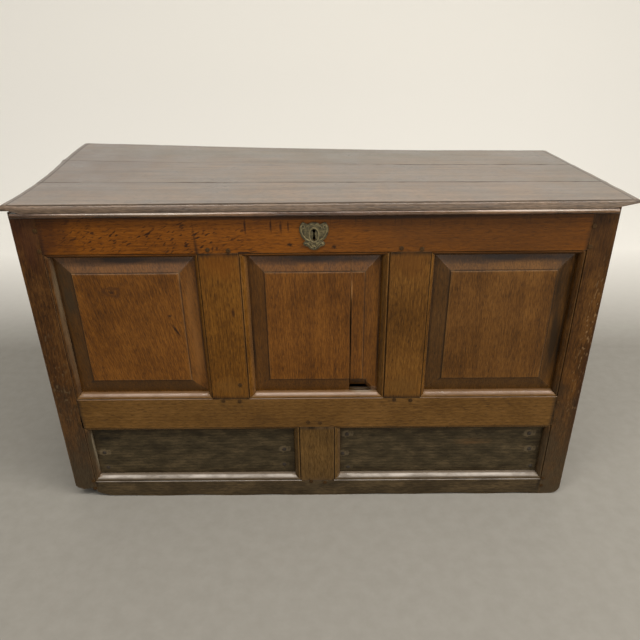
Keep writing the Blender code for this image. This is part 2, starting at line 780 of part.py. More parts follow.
def build_front_bead(wall):
    """Half-round strip planted along the top of the front, under the lid's lip."""
    outline = [(-JOINT_GAP, CARCASE_HEIGHT), (-JOINT_GAP, CARCASE_HEIGHT - BEAD_HEIGHT)]
    for index in range(1, BEAD_STEPS):
        angle = math.pi * index / BEAD_STEPS
        height = CARCASE_HEIGHT - BEAD_HEIGHT / 2 * (1 + math.cos(angle))
        outline.append((-JOINT_GAP - BEAD_DEPTH * math.sin(angle), height))
    half = CARCASE_WIDTH / 2
    add_piece("front_bead", prism(tidy_outline(outline), "x", -half, half), OAK, wall.parent)


def thumb_stations():
    """Thumbnail edge of the lid: (distance in from the edge, height above the underside) pairs."""
    top = LID_THICKNESS - THUMB_STEP
    points = [(0.0, NOSING_HEIGHT)]
    for index in range(1, THUMB_STEPS + 1):
        angle = math.pi / 2 * index / THUMB_STEPS
        height = NOSING_HEIGHT + (top - NOSING_HEIGHT) * math.sin(angle)
        points.append((THUMB_WIDTH * (1 - math.cos(angle)), height))
    points.append((THUMB_WIDTH + JOINT_GAP, LID_THICKNESS))
    return points


def lid_plank(front_edge, rear_edge, moulded_front):
    """Plank of the lid with thumbnail ends; edges are (place, taper) pairs, wider to the left."""
    thumb = thumb_stations()
    half = LID_LENGTH / 2
    along = [(-half + out, height) for out, height in thumb]
    along += [(half - out, height) for out, height in thumb[::-1]]
    shape = bmesh.new()
    top_rows, bottom_rows = [], []
    for place, end_height in along:
        share = -place / LID_LENGTH
        across_lid = place + LID_SHIFT
        front = front_edge[0] + front_edge[1] * share
        rear = rear_edge[0] + rear_edge[1] * share
        across = [(front, LID_THICKNESS), (rear, LID_THICKNESS)]
        if moulded_front:
            across = [(front + out, height) for out, height in thumb] + [(rear, LID_THICKNESS)]
        row = [(across_lid, depth, LID_BOTTOM + min(height, end_height)) for depth, height in across]
        top_rows.append([shape.verts.new(point) for point in row])
        bottom_rows.append([shape.verts.new((point[0], point[1], LID_BOTTOM)) for point in row])
    for rows in (top_rows, bottom_rows):
        for first, second in zip(rows, rows[1:]):
            for index in range(len(first) - 1):
                shape.faces.new((first[index], first[index + 1], second[index + 1], second[index]))
    for index in range(len(top_rows) - 1):
        for column in (0, -1):
            upper, lower = top_rows[index][column], bottom_rows[index][column]
            shape.faces.new((upper, top_rows[index + 1][column], bottom_rows[index + 1][column], lower))
    for row in (0, -1):
        for column in range(len(top_rows[0]) - 1):
            upper, lower = top_rows[row], bottom_rows[row]
            shape.faces.new((upper[column], upper[column + 1], lower[column + 1], lower[column]))
    return shape


def build_lid(pivot):
    """Three planks held by two battens."""
    seam = PLANK_SEAM / 2
    first = LID_NOSE + FRONT_PLANK_WIDTH
    second = first + MIDDLE_PLANK_WIDTH
    second_taper = FRONT_PLANK_TAPER + MIDDLE_PLANK_TAPER
    rear = BACK_Y + LID_REAR_OVERHANG
    edges = (
        ("lid_front_plank", (LID_NOSE, 0.0), (first - seam, FRONT_PLANK_TAPER)),
        ("lid_middle_plank", (first + seam, FRONT_PLANK_TAPER), (second - seam, second_taper)),
        ("lid_rear_plank", (second + seam, second_taper), (rear, LID_REAR_TAPER)),
    )
    for index, (name, front_edge, rear_edge) in enumerate(edges):
        add_pivoted(name, lid_plank(front_edge, rear_edge, index == 0), OAK_LID, pivot)
    low, high = CARCASE_HEIGHT - BATTEN_THICKNESS, CARCASE_HEIGHT
    front = FRONT_Y + FRAME_THICKNESS + BATTEN_CLEAR
    back = BACK_Y - FRAME_THICKNESS - BATTEN_CLEAR
    outline = [(front, high), (front, high - BATTEN_CHAMFER), (front + BATTEN_CHAMFER, low)]
    outline += [(back - BATTEN_CHAMFER, low), (back, high - BATTEN_CHAMFER), (back, high)]
    for side, word in ((-1, "left"), (1, "right")):
        middle = LID_SHIFT + side * (LID_LENGTH / 2 - BATTEN_END_SET)
        shape = prism(outline, "x", middle - BATTEN_WIDTH / 2, middle + BATTEN_WIDTH / 2)
        add_pivoted(f"lid_{word}_batten", shape, OAK_PLAIN, pivot)


def build_hinge(word, place, carcase, pivot, back_rail):
    """Strap hinge: leaf on the back, strap under the lid and the pin through both."""
    centre = Vector((0.0, HINGE_Y, HINGE_Z))
    leaf_low = (place - LEAF_WIDTH / 2, BACK_Y + JOINT_GAP, HINGE_Z - LEAF_HEIGHT)
    leaf_high = (place + LEAF_WIDTH / 2, BACK_Y + JOINT_GAP + LEAF_THICKNESS, HINGE_Z)
    leaf = add_piece(f"{word}_hinge_leaf", box(leaf_low, leaf_high), IRON, carcase)
    barrel = [(place - LEAF_WIDTH / 2, KNUCKLE_RADIUS), (place + LEAF_WIDTH / 2, KNUCKLE_RADIUS)]
    join(leaf, add_cutter(f"{word}_barrel", lathe_along_x(barrel, centre), carcase))
    reach = KNUCKLE_LENGTH / 2 + KNUCKLE_PLAY
    room = KNUCKLE_RADIUS + KNUCKLE_CLEAR / 2
    gap_low = (place - reach, BACK_Y - CUT_MARGIN, HINGE_Z - room)
    gap_high = (place + reach, HINGE_Y + KNUCKLE_RADIUS + CUT_MARGIN, HINGE_Z + KNUCKLE_RADIUS + CUT_MARGIN)
    cut(leaf, add_cutter(f"{word}_knuckle_gap", box(gap_low, gap_high), carcase))

    hole_radius = PIN_RADIUS + PIN_PLAY
    ends = LEAF_WIDTH / 2 + CUT_MARGIN
    bore = lathe_along_x([(place - ends, hole_radius), (place + ends, hole_radius)], centre)
    hole = add_cutter(f"{word}_pin_hole", bore, carcase)
    cut(leaf, hole)

    top = CARCASE_HEIGHT
    tip = BACK_Y - STRAP_LENGTH
    half, point, neck = STRAP_WIDTH / 2, STRAP_TIP_WIDTH / 2, KNUCKLE_LENGTH / 2
    shoulder = BACK_Y - JOINT_GAP
    right = [(neck, HINGE_Y), (neck, shoulder), (half, shoulder), (point, tip + STRAP_POINT)]
    left = [(-across, depth) for across, depth in right[::-1]]
    outline = [(place + across, depth) for across, depth in right + [(0.0, tip)] + left]
    strap_shape = prism(tidy_outline(outline), "z", top - LEAF_THICKNESS, top)
    strap = add_pivoted(f"{word}_hinge_strap", strap_shape, IRON, pivot)
    knuckle = [(place - KNUCKLE_LENGTH / 2, KNUCKLE_RADIUS), (place + KNUCKLE_LENGTH / 2, KNUCKLE_RADIUS)]
    join(strap, add_cutter(f"{word}_knuckle", lathe_along_x(knuckle, centre), carcase))
    cut(strap, hole)

    grow = Vector((NOTCH_PLAY, 0.0, NOTCH_PLAY))
    notch_low = Vector((place - half, BACK_Y - FRAME_THICKNESS - CUT_MARGIN, top - LEAF_THICKNESS)) - grow
    notch_high = Vector((place + half, BACK_Y + CUT_MARGIN, top + CUT_MARGIN)) + grow
    cut(back_rail, add_cutter(f"{word}_strap_notch", box(notch_low, notch_high), carcase))

    shank = LEAF_WIDTH / 2 + JOINT_GAP
    head = shank + PIN_HEAD_LENGTH
    stations = [(place - head, PIN_RADIUS), (place - shank, PIN_HEAD_RADIUS), (place - shank, PIN_RADIUS)]
    stations += [(place + shank, PIN_RADIUS), (place + shank, PIN_HEAD_RADIUS), (place + head, PIN_RADIUS)]
    add_piece(f"{word}_hinge_pin", lathe_along_x(stations, centre), IRON, carcase)


def keyhole_outline():
    """Round top and straight slot of the keyhole, in (x, z)."""
    top = CARCASE_HEIGHT - KEYHOLE_DROP
    slot = KEYHOLE_SLOT_WIDTH / 2
    bottom = top + KEYHOLE_RADIUS - KEYHOLE_HEIGHT
    start = -math.acos(slot / KEYHOLE_RADIUS)
    end = math.pi - start
    points = [(-slot, bottom), (slot, bottom)]
    for index in range(KEYHOLE_STEPS + 1):
        angle = start + (end - start) * index / KEYHOLE_STEPS
        points.append((KEYHOLE_RADIUS * math.cos(angle), top + KEYHOLE_RADIUS * math.sin(angle)))
    return tidy_outline(points)


def build_lock(carcase, top_rail, lid_pivot):
    """Chest lock behind the top rail, its sliding bolt, the catch on the lid and the escutcheon."""
    front = FRONT_Y + FRAME_THICKNESS + JOINT_GAP
    back = front + LOCK_DEPTH
    top = CARCASE_HEIGHT - LOCK_TOP_SET
    half = LOCK_WIDTH / 2
    bolt_high = CARCASE_HEIGHT - BOLT_DROP
    bolt_low = bolt_high - BOLT_HEIGHT
    inner_back = back - LOCK_WALL
    body = box((-half, front, top - LOCK_HEIGHT), (half, back, top))
    case = add_piece("lock_case", body, IRON, carcase)

    body_right = half - LOCK_END_WALL - BOLT_CLEAR
    body_left = -half + LOCK_END_WALL + BOLT_CLEAR + BOLT_TIP_LENGTH + BOLT_TRAVEL
    channel_low = (-half + LOCK_END_WALL, front - CUT_MARGIN, bolt_low - BOLT_PLAY)
    channel_high = (half - LOCK_END_WALL, inner_back, bolt_high + BOLT_PLAY)
    cut(case, add_cutter("bolt_channel", box(channel_low, channel_high), carcase))

    key_bottom = CARCASE_HEIGHT - KEYHOLE_DROP + KEYHOLE_RADIUS - KEYHOLE_HEIGHT
    pocket_low = (-KEY_POCKET_WIDTH / 2, front - CUT_MARGIN, key_bottom - KEY_POCKET_PLAY)
    pocket_high = (KEY_POCKET_WIDTH / 2, inner_back, bolt_high)
    cut(case, add_cutter("key_pocket", box(pocket_low, pocket_high), carcase))

    tip_back = inner_back - CATCH_THICKNESS - 2 * BOLT_PLAY - CATCH_CLEAR / 2
    tip_front = tip_back - BOLT_TIP_DEPTH
    body_front, body_back = front + BOLT_PLAY, inner_back - BOLT_PLAY
    tip_left = body_left - BOLT_TIP_LENGTH
    outline = [(body_left, body_front), (body_right, body_front)]
    outline += [(body_right, body_back), (body_left, body_back)]
    outline += [(body_left, tip_back), (tip_left, tip_back)]
    outline += [(tip_left, tip_front), (body_left, tip_front)]
    place = ((body_left + body_right) / 2, (front + back) / 2, (bolt_low + bolt_high) / 2)
    slide = add_empty("bolt_slide", place, parent=carcase)
    add_pivoted("lock_bolt", prism(tidy_outline(outline), "z", bolt_low, bolt_high), IRON, slide)

    catch_right = tip_left - BOLT_CLEAR
    catch_left = catch_right - CATCH_WIDTH
    foot_high = bolt_low - BOLT_PLAY
    foot_low = foot_high - CATCH_FOOT
    shank_back = inner_back - BOLT_PLAY - CATCH_CLEAR / 2
    shank_front = shank_back - CATCH_THICKNESS
    plate_low = CARCASE_HEIGHT - CATCH_THICKNESS
    root = plate_low + CATCH_THICKNESS / 2
    hook = [(shank_back, root), (shank_front, root), (shank_front, foot_high)]
    hook += [(tip_front, foot_high), (tip_front, foot_low), (shank_back, foot_low)]
    middle = (catch_left + catch_right) / 2
    plate = box(
        (middle - CATCH_PLATE_WIDTH / 2, front + CATCH_CLEAR, plate_low),
        (middle + CATCH_PLATE_WIDTH / 2, front + CATCH_CLEAR + CATCH_PLATE_DEPTH, CARCASE_HEIGHT),
    )
    catch = add_pivoted("lid_catch", plate, IRON, lid_pivot)
    hook_solid = prism(tidy_outline(hook), "x", catch_left, catch_right)
    join(catch, add_cutter("catch_hook", hook_solid, carcase))
    slot_low = (catch_left - CATCH_CLEAR, front + CATCH_CLEAR / 2, foot_low - CATCH_CLEAR)
    slot_high = (catch_right + CATCH_CLEAR, inner_back + CATCH_CLEAR / 4, top + CUT_MARGIN)
    cut(case, add_cutter("catch_slot", box(slot_low, slot_high), carcase))

    keyhole = keyhole_outline()
    through = prism(keyhole, "y", FRONT_Y - CUT_MARGIN, FRONT_Y + FRAME_THICKNESS + CUT_MARGIN)
    cut(top_rail, add_cutter("rail_keyhole", through, carcase))
    build_escutcheon(carcase, keyhole)


def build_escutcheon(carcase, keyhole):
    """Cast brass plate with three scalloped lobes and a round boss at the keyhole."""
    centre = CARCASE_HEIGHT - ESCUTCHEON_DROP
    outline = []
    for index in range(ESCUTCHEON_STEPS):
        angle = 2 * math.pi * index / ESCUTCHEON_STEPS
        lobes = ESCUTCHEON_LOBE * math.cos(3 * (angle - math.pi / 6))
        radius = ESCUTCHEON_RADIUS + lobes + ESCUTCHEON_SCALLOP * math.cos(9 * (angle - math.pi / 6))
        outline.append((radius * math.cos(angle), centre + radius * math.sin(angle)))
    back = FRONT_Y - JOINT_GAP
    front = back - ESCUTCHEON_THICKNESS
    plate = add_piece("escutcheon", prism(outline, "y", front, back), BRASS, carcase)
    turn = Matrix.Rotation(math.pi / 2, 4, "X")
    boss_z = CARCASE_HEIGHT - KEYHOLE_DROP - BOSS_RISE / 2
    boss = bmesh.new()
    bmesh.ops.create_cone(
        boss,
        cap_ends=True,
        segments=ROUND_SEGMENTS,
        radius1=BOSS_RADIUS,
        radius2=BOSS_RADIUS - BOSS_HEIGHT,
        depth=BOSS_HEIGHT + ESCUTCHEON_THICKNESS / 2,
        matrix=Matrix.Translation((0.0, front - BOSS_HEIGHT / 2 + ESCUTCHEON_THICKNESS / 4, boss_z)) @ turn,
    )
    join(plate, add_cutter("escutcheon_boss", boss, carcase))
    through = prism(keyhole, "y", front - BOSS_HEIGHT - CUT_MARGIN, back + CUT_MARGIN)
    cut(plate, add_cutter("escutcheon_keyhole", through, carcase))


def main():
    """Builds the coffer."""
    clear_scene()
    middle = (FRONT_Y + BACK_Y) / 2
    quarter = math.pi / 2
    carcase = add_empty("carcase", (-LID_SHIFT, 0.0, 0.0))
    holder = add_empty("front_wall", (0.0, FRONT_Y, 0.0), parent=carcase)
    front = Wall("front", holder, CARCASE_WIDTH, STILE_WIDTH, MOULDING_WIDTH)
    holder = add_empty("back_wall", (0.0, BACK_Y, 0.0), math.pi, carcase)
    back = Wall("back", holder, CARCASE_WIDTH, STILE_WIDTH, 0.0)
    sides = []
    for side, word in ((-1, "left"), (1, "right")):
        place = (side * CARCASE_WIDTH / 2, middle, 0.0)
        holder = add_empty(f"{word}_wall", place, side * quarter, carcase)
        sides.append(Wall(word, holder, CARCASE_DEPTH, STILE_DEPTH, MOULDING_WIDTH))
    stiles = build_stiles(front, sides, back)
    top_rail = build_front(front, stiles)
    for wall in sides:
        build_side(wall, wall.name, stiles[f"front_{wall.name}"], stiles[f"rear_{wall.name}"])
    back_rail = build_back(back, stiles)
    build_floor(carcase)
    build_front_bead(front)
    lid_pivot = add_empty("lid_pivot", (0.0, HINGE_Y, HINGE_Z), parent=carcase)
    build_lid(lid_pivot)
    for side, word in ((-1, "left"), (1, "right")):
        place = side * (CARCASE_WIDTH / 2 - HINGE_END_SET)
        build_hinge(word, place, carcase, lid_pivot, back_rail)
    build_lock(carcase, top_rail, lid_pivot)


main()
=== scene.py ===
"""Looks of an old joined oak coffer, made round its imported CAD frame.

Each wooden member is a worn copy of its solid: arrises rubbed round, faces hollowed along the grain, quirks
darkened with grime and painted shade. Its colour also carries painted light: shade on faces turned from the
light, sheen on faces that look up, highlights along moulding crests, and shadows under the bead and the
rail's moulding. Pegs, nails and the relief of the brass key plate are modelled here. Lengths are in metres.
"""

import json
import logging
import math
import random
from collections.abc import Callable, Iterator, Sequence
from contextlib import contextmanager
from dataclasses import dataclass, field, replace
from enum import Enum

import bmesh
import bpy
from mathutils import Euler, Matrix, Vector, noise

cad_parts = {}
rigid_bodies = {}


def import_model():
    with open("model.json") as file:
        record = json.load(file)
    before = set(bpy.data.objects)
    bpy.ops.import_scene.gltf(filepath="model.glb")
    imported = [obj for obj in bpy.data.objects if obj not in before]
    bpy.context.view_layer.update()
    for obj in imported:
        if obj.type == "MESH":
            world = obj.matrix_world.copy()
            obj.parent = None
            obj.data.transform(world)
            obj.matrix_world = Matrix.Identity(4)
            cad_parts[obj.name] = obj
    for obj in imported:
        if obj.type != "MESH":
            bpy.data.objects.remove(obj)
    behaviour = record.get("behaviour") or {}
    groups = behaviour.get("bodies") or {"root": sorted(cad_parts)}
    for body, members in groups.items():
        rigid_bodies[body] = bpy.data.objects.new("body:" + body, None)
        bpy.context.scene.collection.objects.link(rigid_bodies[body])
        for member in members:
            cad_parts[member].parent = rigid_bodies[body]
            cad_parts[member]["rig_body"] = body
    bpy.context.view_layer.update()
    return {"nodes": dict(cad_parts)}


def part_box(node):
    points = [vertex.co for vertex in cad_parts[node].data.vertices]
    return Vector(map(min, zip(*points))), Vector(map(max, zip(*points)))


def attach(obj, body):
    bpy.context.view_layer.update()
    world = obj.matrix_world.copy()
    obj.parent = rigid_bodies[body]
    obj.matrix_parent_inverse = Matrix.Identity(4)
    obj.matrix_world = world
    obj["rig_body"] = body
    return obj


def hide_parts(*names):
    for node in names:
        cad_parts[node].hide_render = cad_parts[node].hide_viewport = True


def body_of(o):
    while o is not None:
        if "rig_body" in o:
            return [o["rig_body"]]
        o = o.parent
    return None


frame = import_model()

MERGE_DISTANCE = 1e-5
FLAT_TURN = math.radians(1.0)
SMOOTH_TURN = math.radians(40.0)
PLANE_SLACK = 5e-5

Tone = tuple[int, int, int]
Pair = tuple[float, float]
Triple = tuple[float, float, float]
Box = tuple[Vector, Vector]
Rule = Callable[[Vector], Vector]
Piece = bpy.types.Object
Socket = bpy.types.NodeSocket
Value = float | Socket
SIDES = ("left", "right")
log = logging.getLogger("coffer")


class Axis(Enum):
    """An axis of the coffer's frame: along its front, through its depth, or upright."""

    X = 0
    Y = 1
    Z = 2


def linear(tone: Tone) -> tuple[float, float, float, float]:
    """Turn a screen colour of 0 to 255 into the linear colour that a shader takes.

    Args:
        tone: red, green and blue as a screen shows them.

    Returns:
        The linear colour, fully opaque.
    """
    shares = [part / 255 for part in tone]
    parts = [s / 12.92 if s <= 0.04045 else ((s + 0.055) / 1.055) ** 2.4 for s in shares]
    return (parts[0], parts[1], parts[2], 1.0)


def ease(value: float, start: float, end: float) -> float:
    """Give 0 at start and 1 at end, with a smooth run between; end may be the lower one."""
    share = min(1.0, max(0.0, (value - start) / (end - start)))
    return share * share * (3 - 2 * share)


def stretched(grain: Axis, along: float, across: float) -> Triple:
    """Give the scale of a pattern that is drawn out along the grain.

    Args:
        grain: the axis of the grain.
        along: the scale along it.
        across: the scale across it.

    Returns:
        The scale along x, y and z.
    """
    scale = [across, across, across]
    scale[grain.value] = along
    return (scale[0], scale[1], scale[2])


class Bench:
    """Operator steps that many pieces go through."""

    @staticmethod
    def only(obj: Piece) -> None:
        """Select one object alone and make it the active one.

        Args:
            obj: the object.
        """
        bpy.ops.object.select_all(action="DESELECT")
        obj.select_set(True)
        bpy.context.view_layer.objects.active = obj

    @staticmethod
    @contextmanager
    def editing(obj: Piece, mode: str = "FACE") -> Iterator[bmesh.types.BMesh]:
        """Open an object in edit mode with nothing selected.

        Args:
            obj: the mesh object to edit.
            mode: what is being selected, VERT, EDGE or FACE.

        Returns:
            The mesh being edited, for selecting by place or normal.
        """
        Bench.only(obj)
        bpy.ops.object.mode_set(mode="EDIT")
        bpy.ops.mesh.select_mode(type=mode)
        bpy.ops.mesh.select_all(action="DESELECT")
        yield bmesh.from_edit_mesh(obj.data)
        bpy.ops.object.mode_set(mode="OBJECT")

    @staticmethod
    def joined(parts: Sequence[Piece], name: str) -> Piece:
        """Join several objects into one piece and name it.

        Args:
            parts: the objects; the first one stays.
            name: the piece's name.

        Returns:
            The joined piece.
        """
        Bench.only(parts[0])
        for part in parts[1:]:
            part.select_set(True)
        if len(parts) > 1:
            bpy.ops.object.join()
        parts[0].name = name
        parts[0].data.name = name
        return parts[0]

    @staticmethod
    def laid(pattern: Piece, places: Sequence[Matrix], name: str) -> Piece:
        """Copy a pattern to each place and join the copies into one piece.

        Args:
            pattern: the modelled object, which is removed afterwards.
            places: where each copy goes.
            name: the finished piece's name.

        Returns:
            The finished piece, at the origin.
        """
        copies = []
        for place in places:
            copy = bpy.data.objects.new(name, pattern.data.copy())
            copy.data.transform(place)
            bpy.context.scene.collection.objects.link(copy)
            copies.append(copy)
        bpy.data.objects.remove(pattern)
        return Bench.joined(copies, name)

    @staticmethod
    def mesh_of(curve: Piece) -> Piece:
        """Turn a curve into a closed mesh.

        Args:
            curve: the curve.

        Returns:
            The same object, as a mesh.
        """
        Bench.only(curve)
        bpy.ops.object.convert(target="MESH")
        with Bench.editing(curve, "VERT"):
            bpy.ops.mesh.select_all(action="SELECT")
            bpy.ops.mesh.remove_doubles(threshold=MERGE_DISTANCE)
            bpy.ops.mesh.normals_make_consistent(inside=False)
        return curve

    @staticmethod
    def noted(obj: Piece, name: str, values: Sequence[float], domain: str = "POINT") -> None:
        """Write one value for each vertex or face to a mesh."""
        layer = obj.data.attributes.new(name, "FLOAT", domain)
        layer.data.foreach_set("value", values)

    @staticmethod
    def settle(obj: Piece, body: str, slot: str, material: bpy.types.Material) -> Piece:
        """Smooth a finished piece, give it its material and let it ride on its body.

        Args:
            obj: the finished piece.
            body: the moving body that it belongs to.
            slot: the material slot that it stands for; not used.
            material: its finish.

        Returns:
            The same piece.
        """
        Bench.only(obj)
        bpy.ops.object.shade_smooth_by_angle(angle=SMOOTH_TURN)
        obj.data.materials.clear()
        obj.data.materials.append(material)
        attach(obj, body)
        return obj


class Graph:
    """A material's node tree, with a short method for each kind of node."""

    CLOUD_LOW = 0.3
    CLOUD_HIGH = 0.7

    def __init__(self, name: str) -> None:
        """Start a material with its shader and the object's own coordinates.

        Args:
            name: the material's name.
        """
        self.material = bpy.data.materials.new(name)
        self.material.use_nodes = True
        self.tree = self.material.node_tree
        self.shader = self.tree.nodes["Principled BSDF"]
        self.place = self.tree.nodes.new("ShaderNodeTexCoord").outputs["Object"]

    def feed(self, socket: Socket, value: object) -> None:
        """Link a socket to another, or set its constant.

        Args:
            socket: the socket to feed.
            value: another socket, or a constant.
        """
        if isinstance(value, Socket):
            self.tree.links.new(value, socket)
        else:
            socket.default_value = value

    def mapping(self, vector: Socket, at: Triple = (0, 0, 0), turn: Triple = (0, 0, 0),
                scale: Triple = (1, 1, 1), kind: str = "POINT") -> Socket:
        """Move, turn and scale a vector; the kind TEXTURE brings a place into a pattern's own measure.

        Args:
            vector: the vector.
            at: how far it is moved.
            turn: its turn about each axis, in degrees.
            scale: its scale along each axis.
            kind: the way of mapping.

        Returns:
            The mapped vector.
        """
        node = self.tree.nodes.new("ShaderNodeMapping")
        node.vector_type = kind
        self.feed(node.inputs["Vector"], vector)
        node.inputs["Location"].default_value = at
        node.inputs["Rotation"].default_value = [math.radians(angle) for angle in turn]
        node.inputs["Scale"].default_value = scale
        return node.outputs["Vector"]

    def cloud(self, vector: Socket, detail: float = 2.0, rough: float = 0.5) -> Socket:
        """Add soft noise with about one patch to each unit of the vector.

        Args:
            vector: the place, in patches.
            detail: how many finer layers it has.
            rough: how strong these are.

        Returns:
            Noise, mostly from 0.3 to 0.7.
        """
        node = self.tree.nodes.new("ShaderNodeTexNoise")
        self.feed(node.inputs["Vector"], vector)
        node.inputs["Scale"].default_value = 1.0
        node.inputs["Detail"].default_value = detail
        node.inputs["Roughness"].default_value = rough
        return node.outputs[0]

    def bands(self, vector: Socket, across: Axis, scale: float, waver: float) -> Socket:
        """Add wavering bands across an axis, as growth rings show on a sawn face.

        Args:
            vector: the place.
            across: the axis that the bands cross.
            scale: how close they are.
            waver: how much they waver.

        Returns:
            The bands, from 0 to 1.
        """
        node = self.tree.nodes.new("ShaderNodeTexWave")
        node.wave_type = "BANDS"
        node.bands_direction = across.name
        node.wave_profile = "SAW"
        self.feed(node.inputs["Vector"], vector)
        node.inputs["Scale"].default_value = scale
        node.inputs["Distortion"].default_value = waver
        node.inputs["Detail"].default_value = 2.0
        node.inputs["Detail Scale"].default_value = 0.6
        return node.outputs["Fac"]

    def sum(self, operation: str, first: Value, second: Value = 0.0) -> Socket:
        """Work out one step of arithmetic.

        Args:
            operation: the step's name.
            first: the first value.
            second: the second value, if any.

        Returns:
            The result.
        """
        node = self.tree.nodes.new("ShaderNodeMath")
        node.operation = operation
        self.feed(node.inputs[0], first)
        self.feed(node.inputs[1], second)
        return node.outputs[0]

    def span(self, value: Value, low: float, high: float, to_low: float = 0.0,
             to_high: float = 1.0) -> Socket:
        """Stretch the run from low to high over another run, and hold it there.

        Args:
            value: the value.
            low: where the run starts.
            high: where it ends.
            to_low: what the start becomes.
            to_high: what the end becomes.

        Returns:
            The stretched value.
        """
        node = self.tree.nodes.new("ShaderNodeMapRange")
        self.feed(node.inputs["Value"], value)
        node.inputs["From Min"].default_value = low
        node.inputs["From Max"].default_value = high
        node.inputs["To Min"].default_value = to_low
        node.inputs["To Max"].default_value = to_high
        return node.outputs["Result"]

    def uneven(self, cloud: Socket, to_low: float, to_high: float) -> Socket:
        """Stretch the middle of a noise, where most of it lies, over a run."""
        return self.span(cloud, self.CLOUD_LOW, self.CLOUD_HIGH, to_low, to_high)

    def mix(self, share: Value, under: object, over: object) -> Socket:
        """Lay one colour over another.

        Args:
            share: how far the upper one covers.
            under: the lower colour.
            over: the upper colour.

        Returns:
            The mixed colour.
        """
        node = self.tree.nodes.new("ShaderNodeMix")
        node.data_type = "RGBA"
        self.feed(node.inputs[0], share)
        self.feed(node.inputs[6], under)
        self.feed(node.inputs[7], over)
        return node.outputs[2]

    def cover(self, colour: Socket, tone: Tone, where: Socket, share: Value) -> Socket:
        """Lay a tone over a colour, as strongly as a share of where it belongs."""
        return self.mix(self.sum("MULTIPLY", where, share), colour, linear(tone))

    def ramp(self, value: Socket, stops: Sequence[tuple[float, Tone]]) -> Socket:
        """Turn a value into a colour by a row of stops.

        Args:
            value: the value.
            stops: each stop's place and tone, in order.

        Returns:
            The colour.
        """
        node = self.tree.nodes.new("ShaderNodeValToRGB")
        elements = node.color_ramp.elements
        while len(elements) < len(stops):
            elements.new(1.0)
        for element, (position, tone) in zip(elements, stops):
            element.position = position
            element.color = linear(tone)
        self.feed(node.inputs["Fac"], value)
        return node.outputs["Color"]

    def felt(self, name: str) -> Socket:
        """Read one of the piece's own attributes.

        Args:
            name: the attribute.

        Returns:
            Its value at each place.
        """
        node = self.tree.nodes.new("ShaderNodeAttribute")
        node.attribute_name = name
        return node.outputs["Fac"]

    def part(self, vector: Socket, axis: Axis) -> Socket:
        """Take one part of a vector.

        Args:
            vector: the vector.
            axis: which part.

        Returns:
            That part.
        """
        node = self.tree.nodes.new("ShaderNodeSeparateXYZ")
        self.feed(node.inputs[0], vector)
        return node.outputs[axis.value]

    def length(self, vector: Socket) -> Socket:
        """Measure a vector.

        Args:
            vector: the vector.

        Returns:
            Its length.
        """
        node = self.tree.nodes.new("ShaderNodeVectorMath")
        node.operation = "LENGTH"
        self.feed(node.inputs[0], vector)
        return node.outputs["Value"]

    def relief(self, height: Socket, strength: float, depth: float) -> None:
        """Give the surface fine relief from a height.

        Args:
            height: the height at each place.
            strength: how strongly it shows.
            depth: its depth in metres.
        """
        node = self.tree.nodes.new("ShaderNodeBump")
        node.inputs["Strength"].default_value = strength
        node.inputs["Distance"].default_value = depth
        self.feed(node.inputs["Height"], height)
        self.feed(self.shader.inputs["Normal"], node.outputs["Normal"])

    def gloss(self, coat: float, coat_roughness: float, specular: float) -> None:
        """Set the parts of the gloss that are the same all over.

        Args:
            coat: how much clear coat there is.
            coat_roughness: how dull the coat is.
            specular: how strongly the wood itself shines.
        """
        self.shader.inputs["Coat Weight"].default_value = coat
        self.shader.inputs["Coat Roughness"].default_value = coat_roughness
        self.shader.inputs["Specular IOR Level"].default_value = specular


class MarkShape(Enum):
    """A mark's form; strokes have their lean in degrees and the size of one stroke."""

    STAIN = "soft-edged patch"
    RING = "ring round a clean middle"
    DASHES = (-28.0, (0.014, 1.0, 0.0042))
    RUNS = (0.0, (0.0050, 1.0, 0.060))
    CHIPS = (8.0, (0.0045, 1.0, 0.012))


@dataclass(frozen=True)
class Mark:
    """A stain, knot or scar at its place on a piece, or a painted shadow, shade or highlight."""

    FRAY = (1.7, 1.7, 1.7)
    RING_AT = 0.75

    at: Triple
    half: Triple
    tone: Tone
    strength: float = 0.8
    turn: Triple = (0.0, 0.0, 0.0)
    shape: MarkShape = MarkShape.STAIN

    def mask(self, graph: Graph) -> Socket:
        """Give how strongly the mark covers each place.

        Args:
            graph: the material that the mark is drawn in.

        Returns:
            A socket of 0 outside the mark up to its strength inside.
        """
        local = graph.mapping(graph.place, self.at, self.turn, self.half, "TEXTURE")
        ragged = graph.uneven(graph.cloud(graph.mapping(local, scale=self.FRAY), 3.0), -0.3, 0.3)
        reach = graph.sum("ADD", graph.length(local), ragged)
        if self.shape is MarkShape.RING:
            rim = graph.sum("ABSOLUTE", graph.sum("SUBTRACT", reach, self.RING_AT))
            return graph.span(rim, 0.32, 0.08, 0.0, self.strength)
        cover = graph.span(reach, 1.1, 0.45, 0.0, self.strength)
        if self.shape is MarkShape.STAIN:
            return cover
        lean, size = self.shape.value
        strokes = graph.mapping(graph.place, turn=(0.0, lean, 0.0), scale=size, kind="TEXTURE")
        return graph.sum("MULTIPLY", cover, graph.span(graph.cloud(strokes, 1.0), 0.60, 0.68))


